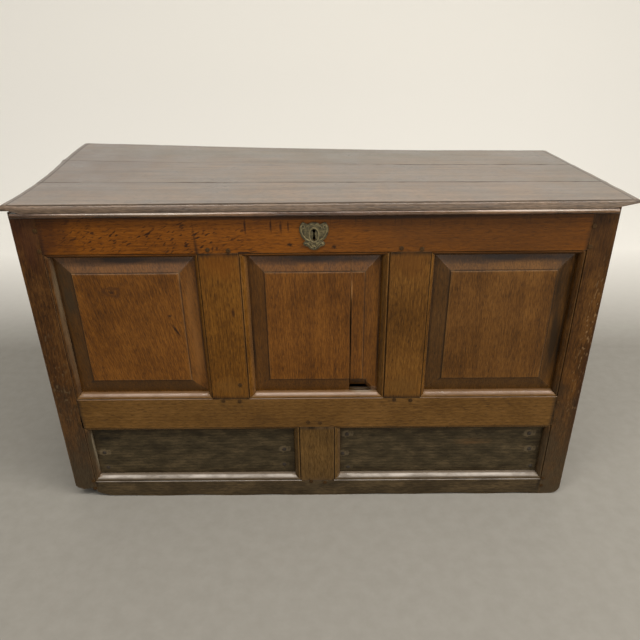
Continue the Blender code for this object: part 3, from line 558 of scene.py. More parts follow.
class Figure:
    """Noise drawn out along one piece's grain: broad streaks, fibre, open pores and slow patches."""

    SPREAD = 4.0
    TILT = 1.5

    def __init__(self, graph: Graph, name: str, grain: Axis, lean: float, patch: Pair) -> None:
        """Place a piece's figure by chance.

        Args:
            graph: the material.
            name: the piece, which seeds the chance.
            grain: the axis that its grain runs along.
            lean: the angle that the grain leans over on the front, in degrees.
            patch: the scale of the slow patches along and across the grain.
        """
        chance = random.Random(name)
        origin = [chance.uniform(-self.SPREAD, self.SPREAD) for _ in range(3)]
        tilt = [chance.uniform(-self.TILT, self.TILT) for _ in range(3)]
        tilt[Axis.Y.value] += lean
        self.graph = graph
        self.grain = grain
        self.placed = graph.mapping(graph.place, tuple(origin), tuple(tilt))
        self.broad = self.grown(3.0, 55.0, 3.0)
        self.fibre = self.grown(64.0, 540.0, 3.0)
        self.pores = graph.span(self.grown(80.0, 640.0, 1.0), 0.58, 0.70)
        self.patch = self.grown(*patch, 4.0)

    def drawn(self, along: float, wide: float) -> Socket:
        """Give the place in a pattern that is drawn out along the grain."""
        return self.graph.mapping(self.placed, scale=stretched(self.grain, along, wide))

    def grown(self, along: float, wide: float, detail: float) -> Socket:
        """Add noise drawn out along the grain."""
        return self.graph.cloud(self.drawn(along, wide), detail, 0.6)


@dataclass(frozen=True)
class OakFinish:
    """Oak under old wax: its tones, gloss, how strongly the figure shows, and the painted shade, sheen and
    highlights laid over it.
    """

    RING_DRAWN = 0.06
    RING_WAVER = 5.0
    TONE_REACH = 0.18
    PORE_SHARE = 0.5
    GRIME_SHARE = 0.85
    FOOT_WAVER = 0.08
    GRAIN_DEPTH = 0.0004

    dark: Tone
    mid: Tone
    light: Tone
    pore: Tone = (30, 18, 8)
    # Grime with painted shade in creases and quirks.
    grime: Tone = (26, 19, 12)
    rub: Tone = (150, 116, 74)
    rub_share: float = 0.30
    shiny: float = 0.34
    dull: float = 0.52
    polish: float = 0.24
    # Painted shade: faces turned from the light are darkened towards this tone.
    lee_share: float = 0.82
    lee_tone: Tone = (34, 28, 16)
    # Dust with painted sheen: faces that look up are paled towards this tone.
    sill_share: float = 0.55
    sill_tone: Tone = (124, 98, 76)
    # Painted highlight: rounds of mouldings that look up and forward are paled towards this tone.
    crest_share: float = 0.36
    crest_tone: Tone = (214, 194, 182)
    broad_share: float = 0.16
    fibre_share: float = 0.60
    patch_share: float = 0.07
    patch_along: float = 9.0
    patch_across: float = 9.0
    lean: float = 0.0
    coat: float = 0.0
    coat_roughness: float = 0.2
    specular: float = 0.15
    contrast: float = 1.05
    ring_pitch: float = 0.009
    ring_share: float = 0.16
    edge_band: float = 0.012
    edge_ramp: float = 0.012
    edge_share: float = 0.12
    edge_tone: Tone = (44, 30, 15)
    edge_ends: bool = False
    foot_tone: Tone = (74, 66, 50)
    foot_share: float = 0.0
    foot_height: float = 0.22
    bump: float = 0.35

    def material(self, name: str, grain: Axis, across: Axis, box: Box,
                 marks: Sequence[Mark] = ()) -> bpy.types.Material:
        """Make the finish for one piece, with figure of its own.

        Args:
            name: the piece, which also seeds its figure.
            grain: the axis that its grain runs along.
            across: the axis across its widest face.
            box: its lowest and highest corners.
            marks: scars and stains on it.

        Returns:
            The piece's material.
        """
        graph = Graph(f"{name}_finish")
        figure = Figure(graph, name, grain, self.lean, (self.patch_along, self.patch_across))
        colour = self.shaded_edges(graph, self.figured(graph, figure, across), box, across, figure)
        colour = self.aged(graph, colour, figure)
        for mark in marks:
            colour = graph.mix(mark.mask(graph), colour, linear(mark.tone))
        graph.feed(graph.shader.inputs["Base Color"], colour)
        self.waxed(graph, figure)
        return graph.material

    def figured(self, graph: Graph, figure: Figure, across: Axis) -> Socket:
        """Colour the wood by its streaks, fibre, growth rings, patches and pores.

        Args:
            graph: the material.
            figure: the piece's own noise.
            across: the axis across the piece's widest face.

        Returns:
            The colour of clean wood.
        """
        pitch = math.pi / 10 / self.ring_pitch
        rings = graph.bands(figure.drawn(self.RING_DRAWN, 1.0), across, pitch, self.RING_WAVER)
        shade = graph.sum("ADD", graph.sum("MULTIPLY", figure.broad, self.broad_share),
                          graph.sum("MULTIPLY", figure.fibre, self.fibre_share))
        shade = graph.sum("ADD", shade, graph.sum("MULTIPLY", rings, self.ring_share * 0.5))
        level = 0.5 * (1 - self.broad_share - self.fibre_share - 0.5 * self.ring_share)
        patches = graph.uneven(figure.patch, level - self.patch_share, level + self.patch_share)
        reach = self.TONE_REACH / self.contrast
        colour = graph.ramp(graph.sum("ADD", shade, patches),
                            ((0.5 - reach, self.dark), (0.5, self.mid), (0.5 + reach, self.light)))
        return graph.cover(colour, self.pore, figure.pores, self.PORE_SHARE)

    def aged(self, graph: Graph, colour: Socket, figure: Figure) -> Socket:
        """Lay on a bleached foot, painted shade on faces turned from the light, dust with painted sheen on
        faces that look up, painted highlights along moulding crests, grime with painted shade in creases, and
        rubbed arrises.

        Args:
            graph: the material.
            colour: the colour so far.
            figure: the piece's own noise.

        Returns:
            The colour of the old surface.
        """
        fibre, patch, lee = figure.fibre, figure.patch, graph.felt("lee")
        if self.foot_share:
            waver = graph.uneven(patch, -self.FOOT_WAVER, self.FOOT_WAVER)
            height = graph.sum("ADD", graph.part(graph.place, Axis.Z), waver)
            low = graph.span(height, self.foot_height, 0.0, 0.0, self.foot_share)
            colour = graph.mix(low, colour, graph.mix(fibre, linear(self.dark), linear(self.foot_tone)))
        # Painted shade on faces turned from the light.
        shade = graph.span(patch, 0.35, 0.65, 0.7 * self.lee_share, self.lee_share)
        colour = graph.cover(colour, self.lee_tone, lee, shade)
        # Dust with painted sheen on faces that look up.
        dust_and_sheen_cover = graph.uneven(fibre, 0.6 * self.sill_share, self.sill_share)
        colour = graph.cover(colour, self.sill_tone, graph.felt("sill"), dust_and_sheen_cover)
        # Painted highlight along the crests of mouldings.
        glint = graph.span(patch, 0.36, 0.60, 0.15, self.crest_share)
        colour = graph.cover(colour, self.crest_tone, graph.felt("crest"), glint)
        # Grime with painted shade in creases and quirks.
        colour = graph.cover(colour, self.grime, graph.felt("grime"), self.GRIME_SHARE)
        # Rubbed arrises are worn pale, and shown only on faces toward the light, so the pale line is also a
        # painted highlight.
        bare = graph.span(figure.broad, 0.38, 0.62, 0.0, self.rub_share)
        rubbed = graph.sum("MULTIPLY", graph.felt("rub"), bare)
        return graph.cover(colour, self.rub, rubbed, graph.sum("SUBTRACT", 1.0, lee))

    def waxed(self, graph: Graph, figure: Figure) -> None:
        """Set the gloss of old wax, duller in the grime and brighter on rubbed rounds, over open grain.

        Args:
            graph: the material.
            figure: the piece's own noise.
        """
        rough = graph.span(figure.patch, 0.32, 0.68, self.shiny, self.dull)
        for operation, layer, share in (("ADD", "grime", 0.3), ("SUBTRACT", "polish", self.polish),
                                        ("SUBTRACT", "sill", self.sill_share * 0.2)):
            rough = graph.sum(operation, rough, graph.sum("MULTIPLY", graph.felt(layer), share))
        rough = graph.sum("ADD", rough, graph.uneven(figure.fibre, -0.05, 0.06))
        graph.feed(graph.shader.inputs["Roughness"], rough)
        graph.gloss(self.coat, self.coat_roughness, self.specular)
        graph.relief(graph.sum("SUBTRACT", figure.fibre, figure.pores), self.bump, self.GRAIN_DEPTH)

    def shaded_edges(self, graph: Graph, colour: Socket, box: Box, across: Axis, figure: Figure) -> Socket:
        """Darken an uneven band along a piece's edges; on a panel it covers the bevels.

        Args:
            graph: the material.
            colour: the colour so far.
            box: the piece's lowest and highest corners.
            across: the axis across its face.
            figure: the piece's own noise, which makes the band uneven.

        Returns:
            The colour with darker edges.
        """
        low, high = box
        nearest: Value = 1.0
        for axis in (figure.grain, across) if self.edge_ends else (across,):
            middle = (low[axis.value] + high[axis.value]) / 2
            half = (high[axis.value] - low[axis.value]) / 2
            offset = graph.sum("ABSOLUTE", graph.sum("SUBTRACT", graph.part(graph.place, axis), middle))
            nearest = graph.sum("MINIMUM", nearest, graph.sum("SUBTRACT", half, offset))
        waver = 0.35 * self.edge_ramp
        inset = graph.sum("ADD", nearest, graph.uneven(figure.patch, -waver, waver))
        shade = graph.span(inset, self.edge_band, self.edge_band - self.edge_ramp, 0.0, self.edge_share)
        return graph.mix(shade, colour, linear(self.edge_tone))


@dataclass(frozen=True)
class MetalFinish:
    """Old metal: bright where it is handled, tarnished or rusted in the hollows."""

    PITS = (900.0, 900.0, 900.0)
    CRUST_RAMP = 0.16
    PIT_DEPTH = 0.0005

    bare: Tone
    tarnish: Tone
    crust: Tone
    metallic: float
    shiny: float
    dull: float
    patch_size: float = 0.012
    crust_from: float = 0.50

    def material(self, name: str) -> bpy.types.Material:
        """Make the finish for one piece, with patches of its own.

        Args:
            name: the piece, which also seeds its patches.

        Returns:
            The piece's material.
        """
        graph = Graph(f"{name}_finish")
        chance = random.Random(name)
        origin = [chance.uniform(-Figure.SPREAD, Figure.SPREAD) for _ in range(3)]
        placed = graph.mapping(graph.place, tuple(origin))
        size = 1 / self.patch_size
        patch = graph.cloud(graph.mapping(placed, scale=(size, size, size)), 4.0, 0.6)
        pits = graph.cloud(graph.mapping(placed, scale=self.PITS), 2.0)
        colour = graph.ramp(patch, ((0.36, self.bare), (0.60, self.tarnish)))
        crusted = graph.span(graph.sum("ADD", patch, graph.uneven(pits, -0.12, 0.12)),
                             self.crust_from, self.crust_from + self.CRUST_RAMP)
        colour = graph.mix(crusted, colour, linear(self.crust))
        colour = graph.cover(colour, self.crust, graph.felt("grime"), 0.8)
        colour = graph.cover(colour, self.bare, graph.felt("rub"), 0.6)
        graph.feed(graph.shader.inputs["Base Color"], colour)
        graph.feed(graph.shader.inputs["Metallic"], graph.span(crusted, 0.0, 1.0, self.metallic, 0.0))
        graph.feed(graph.shader.inputs["Roughness"], graph.uneven(patch, self.shiny, self.dull))
        graph.relief(graph.sum("ADD", patch, pits), 0.5, self.PIT_DEPTH)
        return graph.material


@dataclass(frozen=True)
class Treatment:
    """How far a copy of a solid is worn, and how finely it is cut up for that."""

    arris: float = 0.0007
    border: float = 0.003
    pitch: float = 0.024
    cross_pitch: float = 0.0
    hollow: float = 0.0003
    hollow_length: float = 0.16
    hollow_width: float = 0.03
    chip: float = 0.0010
    chip_length: float = 0.02


class Workpiece:
    """A copy of a CAD node on its way to becoming the finished piece."""

    SHARP = math.radians(40.0)
    NOISE_SHIFT = 50.0
    BROAD_FACE = 4.0
    LEAST_EDGE = 0.001
    RUB_START = math.radians(12.0)
    RUB_FULL = math.radians(32.0)
    ROUND_LEAST = math.radians(5.0)
    ROUND_MOST = math.radians(18.0)
    LIGHT_SIDE = Vector((0.6, 0.0, 0.8))
    # Faces turned from LIGHT_SIDE get painted shade.
    LEE_START = 0.03
    LEE_FULL = 0.14
    # Faces that look up get dust with painted sheen.
    SILL_SIDE = Vector((0.25, 0.0, 0.97))
    SILL_START = 0.04
    SILL_FULL = 0.40
    # Rounds that look up and forward get a painted highlight.
    CREST_SIDE = Vector((0.0, -0.72, 0.69))
    CREST_START = 0.92
    CREST_FULL = 0.99

    def __init__(self, node: str) -> None:
        """Copy a node's mesh, merge its loose triangles and clear the lines across its flat faces.

        Args:
            node: the CAD node.
        """
        self.node = node
        self.low, self.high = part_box(node)
        self.source = frame["nodes"][node]
        self.obj = bpy.data.objects.new(f"{node}_dressed", self.source.data.copy())
        bpy.context.scene.collection.objects.link(self.obj)
        Bench.only(self.obj)
        bpy.ops.mesh.customdata_custom_splitnormals_clear()
        with Bench.editing(self.obj, "VERT"):
            bpy.ops.mesh.select_all(action="SELECT")
            bpy.ops.mesh.remove_doubles(threshold=MERGE_DISTANCE)
            bpy.ops.mesh.select_all(action="SELECT")
            bpy.ops.mesh.dissolve_limited(angle_limit=FLAT_TURN)

    def on_outside(self, vertices: Sequence[bmesh.types.BMVert]) -> bool:
        """Tell whether all the vertices lie on one side of the piece's box.

        Args:
            vertices: the vertices.

        Returns:
            Whether they do.
        """
        for axis in range(3):
            for side in (self.low[axis], self.high[axis]):
                if all(abs(vertex.co[axis] - side) < PLANE_SLACK for vertex in vertices):
                    return True
        return False

    def soften(self, treatment: Treatment) -> None:
        """Round the sharp outer arrises and draw a border inside each broad face.

        Args:
            treatment: how far the piece is worn.
        """
        with Bench.editing(self.obj, "EDGE") as mesh:
            for edge in mesh.edges:
                if len(edge.link_faces) == 2 and edge.calc_face_angle_signed(0.0) > self.SHARP:
                    edge.select_set(self.on_outside(edge.verts))
            bmesh.update_edit_mesh(self.obj.data)
            bpy.ops.mesh.bevel(offset=treatment.arris, segments=2, affect="EDGES", clamp_overlap=True)
        with Bench.editing(self.obj, "FACE") as mesh:
            for face in mesh.faces:
                breadth = 2 * face.calc_area() / face.calc_perimeter()
                face.select_set(breadth > self.BROAD_FACE * treatment.border)
            bmesh.update_edit_mesh(self.obj.data)
            bpy.ops.mesh.inset(thickness=treatment.border, use_individual=True, use_even_offset=True)

    def cut_up(self, axis: Axis, pitch: float) -> None:
        """Bisect the piece at even stations along an axis.

        Args:
            axis: the axis.
            pitch: about how far apart the stations are.
        """
        run = self.high[axis.value] - self.low[axis.value]
        count = max(1, round(run / pitch))
        normal = [0.0, 0.0, 0.0]
        normal[axis.value] = 1.0
        with Bench.editing(self.obj, "VERT"):
            for step in range(1, count):
                station = self.low.copy()
                station[axis.value] += run * step / count
                bpy.ops.mesh.select_all(action="SELECT")
                bpy.ops.mesh.bisect(plane_co=station, plane_no=normal)

    def feel_edges(self) -> list[float]:
        """Write to the mesh how rubbed and polished it is, where grime and painted shade fill its creases,
        where painted highlights run along rounds that look up and forward, and how each face looks to the
        light, for painted shade and for dust with painted sheen.

        Returns:
            How rubbed each vertex is, from 0 to 1.
        """
        mesh = bmesh.new()
        mesh.from_mesh(self.obj.data)
        rub = [0.0] * len(mesh.verts)
        grime = [0.0] * len(mesh.verts)
        polish = [0.0] * len(mesh.verts)
        for edge in mesh.edges:
            if len(edge.link_faces) != 2 or edge.calc_length() < self.LEAST_EDGE:
                continue
            turn = edge.calc_face_angle_signed(0.0)
            share = min(1.0, max(0.0, (abs(turn) - self.RUB_START) / (self.RUB_FULL - self.RUB_START)))
            # Concave edges get grime with painted shade; convex edges get rubbed.
            kept = rub if turn > 0 else grime
            for vertex in edge.verts:
                kept[vertex.index] = max(kept[vertex.index], share)
                if self.ROUND_LEAST < turn < self.ROUND_MOST:
                    polish[vertex.index] = 1.0
        facing = [face.normal.dot(self.LIGHT_SIDE) for face in mesh.faces]
        # Painted shade where a face turns from the light.
        lee = [ease(-turn, self.LEE_START, self.LEE_FULL) for turn in facing]
        # Dust with painted sheen where a face looks up.
        sill = [ease(face.normal.dot(self.SILL_SIDE), self.SILL_START, self.SILL_FULL) for face in mesh.faces]
        # Painted highlight on rounds that look up and forward.
        crest = [shared * ease(vertex.normal.dot(self.CREST_SIDE), self.CREST_START, self.CREST_FULL)
                 for vertex, shared in zip(mesh.verts, polish)]
        mesh.free()
        for name, values in (("rub", rub), ("grime", grime), ("polish", polish), ("crest", crest)):
            Bench.noted(self.obj, name, values)
        for name, values in (("lee", lee), ("sill", sill)):
            Bench.noted(self.obj, name, values, "FACE")
        return rub

    def wear(self, treatment: Treatment, grain: Axis) -> None:
        """Hollow the faces along the grain and chip the arrises, always inwards.

        Args:
            treatment: how far the piece is worn.
            grain: the axis of its grain.
        """
        rub = self.feel_edges()
        chance = random.Random(self.node)
        shift = Vector([chance.uniform(-self.NOISE_SHIFT, self.NOISE_SHIFT) for _ in range(3)])
        scale = Vector(stretched(grain, 1 / treatment.hollow_length, 1 / treatment.hollow_width))
        normals = [vertex.normal.copy() for vertex in self.obj.data.vertices]
        for vertex, normal, rubbed in zip(self.obj.data.vertices, normals, rub):
            wave = 0.5 + 0.5 * noise.noise(vertex.co * scale + shift)
            chip = max(0.0, noise.noise(vertex.co / treatment.chip_length + shift))
            vertex.co -= normal * (treatment.hollow * wave + treatment.chip * rubbed * chip)

    def shape(self, moved: Rule) -> None:
        """Move every vertex by a rule."""
        for vertex in self.obj.data.vertices:
            vertex.co = moved(vertex.co.copy())

    def dress(self, material: bpy.types.Material) -> Piece:
        """Finish the piece in the place of its node.

        Args:
            material: its finish.

        Returns:
            The finished piece.
        """
        slot = self.source.data.materials[0].name
        Bench.settle(self.obj, body_of(self.source)[0], slot, material)
        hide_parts(self.node)
        return self.obj


PLANED = Treatment()
JOINTED = Treatment(pitch=0.012, chip=0.0007)
FIELDED = Treatment(arris=0.0006, pitch=0.03, cross_pitch=0.03, hollow=0.0006, hollow_width=0.05, chip=0.0006)
ROUGH = Treatment(arris=0.0012, pitch=0.014, cross_pitch=0.006, hollow=0.0022, hollow_length=0.11,
                  hollow_width=0.013, chip=0.0010)
TRODDEN = Treatment(arris=0.0009, pitch=0.018, cross_pitch=0.018, hollow=0.0007, hollow_width=0.06,
                    chip=0.0012, chip_length=0.03)
SAWN = Treatment(arris=0.0010, pitch=0.045, hollow=0.0005, chip=0.0012)
FORGED = Treatment(arris=0.0005, border=0.0012, pitch=0.012, hollow=0.0004, hollow_length=0.015,
                   hollow_width=0.012, chip=0.0003)

FRAME_OAK = OakFinish(dark=(60, 36, 9), mid=(96, 60, 14), light=(122, 80, 24), foot_share=0.35,
                      lee_share=0.42)
MUNTIN_OAK = replace(FRAME_OAK, dark=(58, 36, 12), mid=(92, 59, 18), light=(116, 78, 29))
MIDDLE_OAK = replace(FRAME_OAK, lee_share=0.82, dark=(66, 43, 17), mid=(95, 66, 28), light=(117, 84, 42),
                     contrast=0.9)
LOWER_OAK = replace(FRAME_OAK, dark=(54, 37, 14), mid=(85, 61, 27), light=(109, 81, 42))
STILE_OAK = replace(FRAME_OAK, dark=(38, 21, 8), mid=(66, 40, 14), light=(92, 60, 25), patch_share=0.12,
                    patch_along=14.0, patch_across=30.0, foot_tone=(78, 69, 52), foot_share=0.95,
                    foot_height=0.36)
RIGHT_OAK = replace(STILE_OAK, dark=(43, 25, 7), mid=(69, 42, 12), light=(94, 61, 23), lee_share=0.20,
                    foot_tone=(82, 72, 54))
RAIL_OAK = replace(FRAME_OAK, lee_share=0.82, dark=(76, 40, 6), mid=(110, 62, 9), light=(132, 78, 17),
                   contrast=0.8)
FOOT_OAK = replace(STILE_OAK, dark=(44, 34, 20), mid=(68, 55, 36), light=(92, 76, 52), dull=0.62,
                   foot_share=0.3, foot_tone=(50, 47, 36), foot_height=0.13, sill_tone=(140, 128, 115),
                   crest_share=0.66, crest_tone=(216, 208, 200))
PANEL_OAK = OakFinish(dark=(60, 34, 8), mid=(95, 56, 11), light=(122, 76, 21), edge_band=0.041,
                      edge_ramp=0.003, edge_share=0.12, edge_tone=(58, 44, 22), edge_ends=True,
                      ring_share=0.08, specular=0.22, broad_share=0.24, fibre_share=0.56, lee_share=0.38,
                      lee_tone=(46, 36, 20), sill_share=0.12, sill_tone=(140, 124, 112), crest_share=0.0)
LEFT_PANEL_OAK = replace(PANEL_OAK, lean=10.0, sill_share=0.30, lee_share=0.62)
RIGHT_PANEL_OAK = replace(PANEL_OAK, dark=(56, 34, 10), mid=(88, 55, 16), light=(112, 74, 28))
LOW_OAK = OakFinish(dark=(40, 33, 20), mid=(59, 50, 33), light=(82, 69, 48), shiny=0.5, dull=0.75, bump=0.7,
                    edge_band=0.02, edge_ramp=0.02, edge_share=0.4, edge_ends=True, contrast=1.15,
                    broad_share=0.10, fibre_share=0.40, patch_share=0.14, patch_along=20.0, patch_across=48.0)
LID_OAK = OakFinish(dark=(64, 49, 38), mid=(97, 79, 62), light=(130, 108, 88), shiny=0.28, dull=0.44,
                    polish=0.0, specular=0.5, coat=0.25, edge_share=0.0, rub_share=0.0, sill_share=0.0,
                    crest_share=0.0, ring_share=0.08, broad_share=0.34, fibre_share=0.56, patch_share=0.08,
                    contrast=1.25)
BEAD_OAK = replace(STILE_OAK, dark=(40, 26, 16), mid=(72, 48, 30), light=(104, 74, 52), shiny=0.16, dull=0.44,
                   specular=0.4, contrast=1.6, edge_share=0.0, sill_share=0.10, crest_share=0.55,
                   foot_share=0.0, patch_along=7.0, patch_across=7.0)
PLAIN_OAK = OakFinish(dark=(78, 56, 34), mid=(116, 88, 54), light=(146, 116, 78), shiny=0.68, dull=0.86,
                      bump=0.6, edge_share=0.25, rub_share=0.15, sill_share=0.10, crest_share=0.0,
                      lee_share=0.4)
IRON = MetalFinish(bare=(92, 88, 84), tarnish=(46, 42, 40), crust=(70, 48, 32), metallic=0.85, shiny=0.42,
                   dull=0.7)
NAIL = replace(IRON, bare=(62, 54, 44), tarnish=(36, 30, 24), crust=(50, 38, 26), metallic=0.4, shiny=0.6,
               dull=0.8)
BRASS = MetalFinish(bare=(140, 127, 92), tarnish=(74, 66, 43), crust=(42, 40, 25), metallic=0.6, shiny=0.34,
                    dull=0.6, patch_size=0.006, crust_from=0.54)
PEG_OAK = replace(FRAME_OAK, dark=(46, 31, 14), mid=(62, 42, 18), light=(78, 55, 26), rub_share=0.0,
                  edge_share=0.0, sill_share=0.0, crest_share=0.0, foot_share=0.0)


@dataclass(frozen=True)
class Member:
    """A wooden member: its node, finish, grain and scars."""

    node: str
    finish: OakFinish
    grain: Axis
    treatment: Treatment = PLANED
    marks: tuple[Mark, ...] = ()
    partner: str = ""

    def whole(self) -> Box:
        """Give the box of the member, with the piece that split off it.

        Returns:
            Its lowest and highest corners.
        """
        low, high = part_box(self.node)
        if self.partner:
            more_low, more_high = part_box(self.partner)
            low, high = Vector(map(min, low, more_low)), Vector(map(max, high, more_high))
        return low, high

    def across(self) -> Axis:
        """Give the axis across the member's widest face.

        Returns:
            The axis.
        """
        low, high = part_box(self.node)
        others = [axis for axis in Axis if axis is not self.grain]
        return max(others, key=lambda axis: high[axis.value] - low[axis.value])

    def made(self, moved: Rule | None = None) -> Piece:
        """Cut, soften and wear the member's copy, move it by a rule if there is one, and finish it.

        Args:
            moved: a rule that gives each vertex its new place.

        Returns:
            The finished member.
        """
        piece = Workpiece(self.node)
        piece.soften(self.treatment)
        piece.cut_up(self.grain, self.treatment.pitch)
        if self.treatment.cross_pitch:
            piece.cut_up(self.across(), self.treatment.cross_pitch)
        piece.wear(self.treatment, self.grain)
        if moved:
            piece.shape(moved)
        finish = self.finish.material(self.node, self.grain, self.across(), self.whole(), self.marks)
        return piece.dress(finish)


FRONT_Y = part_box("front_top_rail")[0].y
FRONT_MARK = 0.03
FLECK: Tone = (44, 24, 10)
LEFT_NAILS = ((-0.5378, 0.1271), (-0.5363, 0.0805), (-0.0923, 0.1340), (-0.0941, 0.0861))
RIGHT_NAILS = ((0.0618, 0.1787), (0.0514, 0.1194), (0.0654, 0.0765), (0.5043, 0.1772), (0.5113, 0.1301),
               (0.5220, 0.0764))


def front_mark(x: float, z: float, half_x: float, half_z: float, tone: Tone = FLECK, strength: float = 0.8,
               lean: float = 0.0, shape: MarkShape = MarkShape.STAIN) -> Mark:
    """Place a mark on the front, with its lean in degrees."""
    return Mark((x, FRONT_Y, z), (half_x, FRONT_MARK, half_z), tone, strength, (0.0, lean, 0.0), shape)


@dataclass
class Opening:
    """One of the front's openings; rubbing has set each of its moulded edges back by a distance."""

    left: str
    right: str
    foot: str
    head: str
    worn: tuple[float, float, float, float]
    moulding: float = 0.017

    def __post_init__(self) -> None:
        """Measure the opening between its four members."""
        self.low = (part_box(self.left)[1].x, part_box(self.foot)[1].z)
        self.high = (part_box(self.right)[0].x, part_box(self.head)[0].z)

    def widened(self, point: Vector) -> Vector:
        """Set a point near the opening's edge back from it, less the farther out it lies.

        Args:
            point: the point, which is moved.

        Returns:
            The same point.
        """
        aside = max(self.low[0] - point.x, point.x - self.high[0])
        out = max(aside, self.low[1] - point.z, point.z - self.high[1], 0.0)
        if out < self.moulding:
            share = 1 - out / self.moulding
            left, right, foot, head = self.worn
            across = (point.x - self.low[0] + out) / (self.high[0] - self.low[0] + 2 * out)
            upward = (point.z - self.low[1] + out) / (self.high[1] - self.low[1] + 2 * out)
            point.x += share * (right * across - left * (1 - across))
            point.z += share * (head * upward - foot * (1 - upward))
        return point


UPPER = ("front_middle_rail", "front_top_rail")
LOWER = ("front_bottom_rail", "front_middle_rail")
FRONT_OPENINGS = (
    Opening("front_left_stile", "front_left_muntin", *UPPER, (0.005, 0.007, 0.003, 0.006)),
    Opening("front_left_muntin", "front_right_muntin", *UPPER, (0.0, 0.0, 0.003, 0.006)),
    Opening("front_right_muntin", "front_right_stile", *UPPER, (0.007, 0.003, 0.003, 0.006)),
    Opening("front_left_stile", "front_lower_muntin", *LOWER, (0.003, 0.001, 0.0, 0.006)),
    Opening("front_lower_muntin", "front_right_stile", *LOWER, (0.001, 0.003, 0.0, 0.006)),
)


def widened(point: Vector) -> Vector:
    """Set the edges of all the front's openings back.

    Args:
        point: a point of the front, which is moved.

    Returns:
        The same point.
    """
    for opening in FRONT_OPENINGS:
        point = opening.widened(point)
    return point


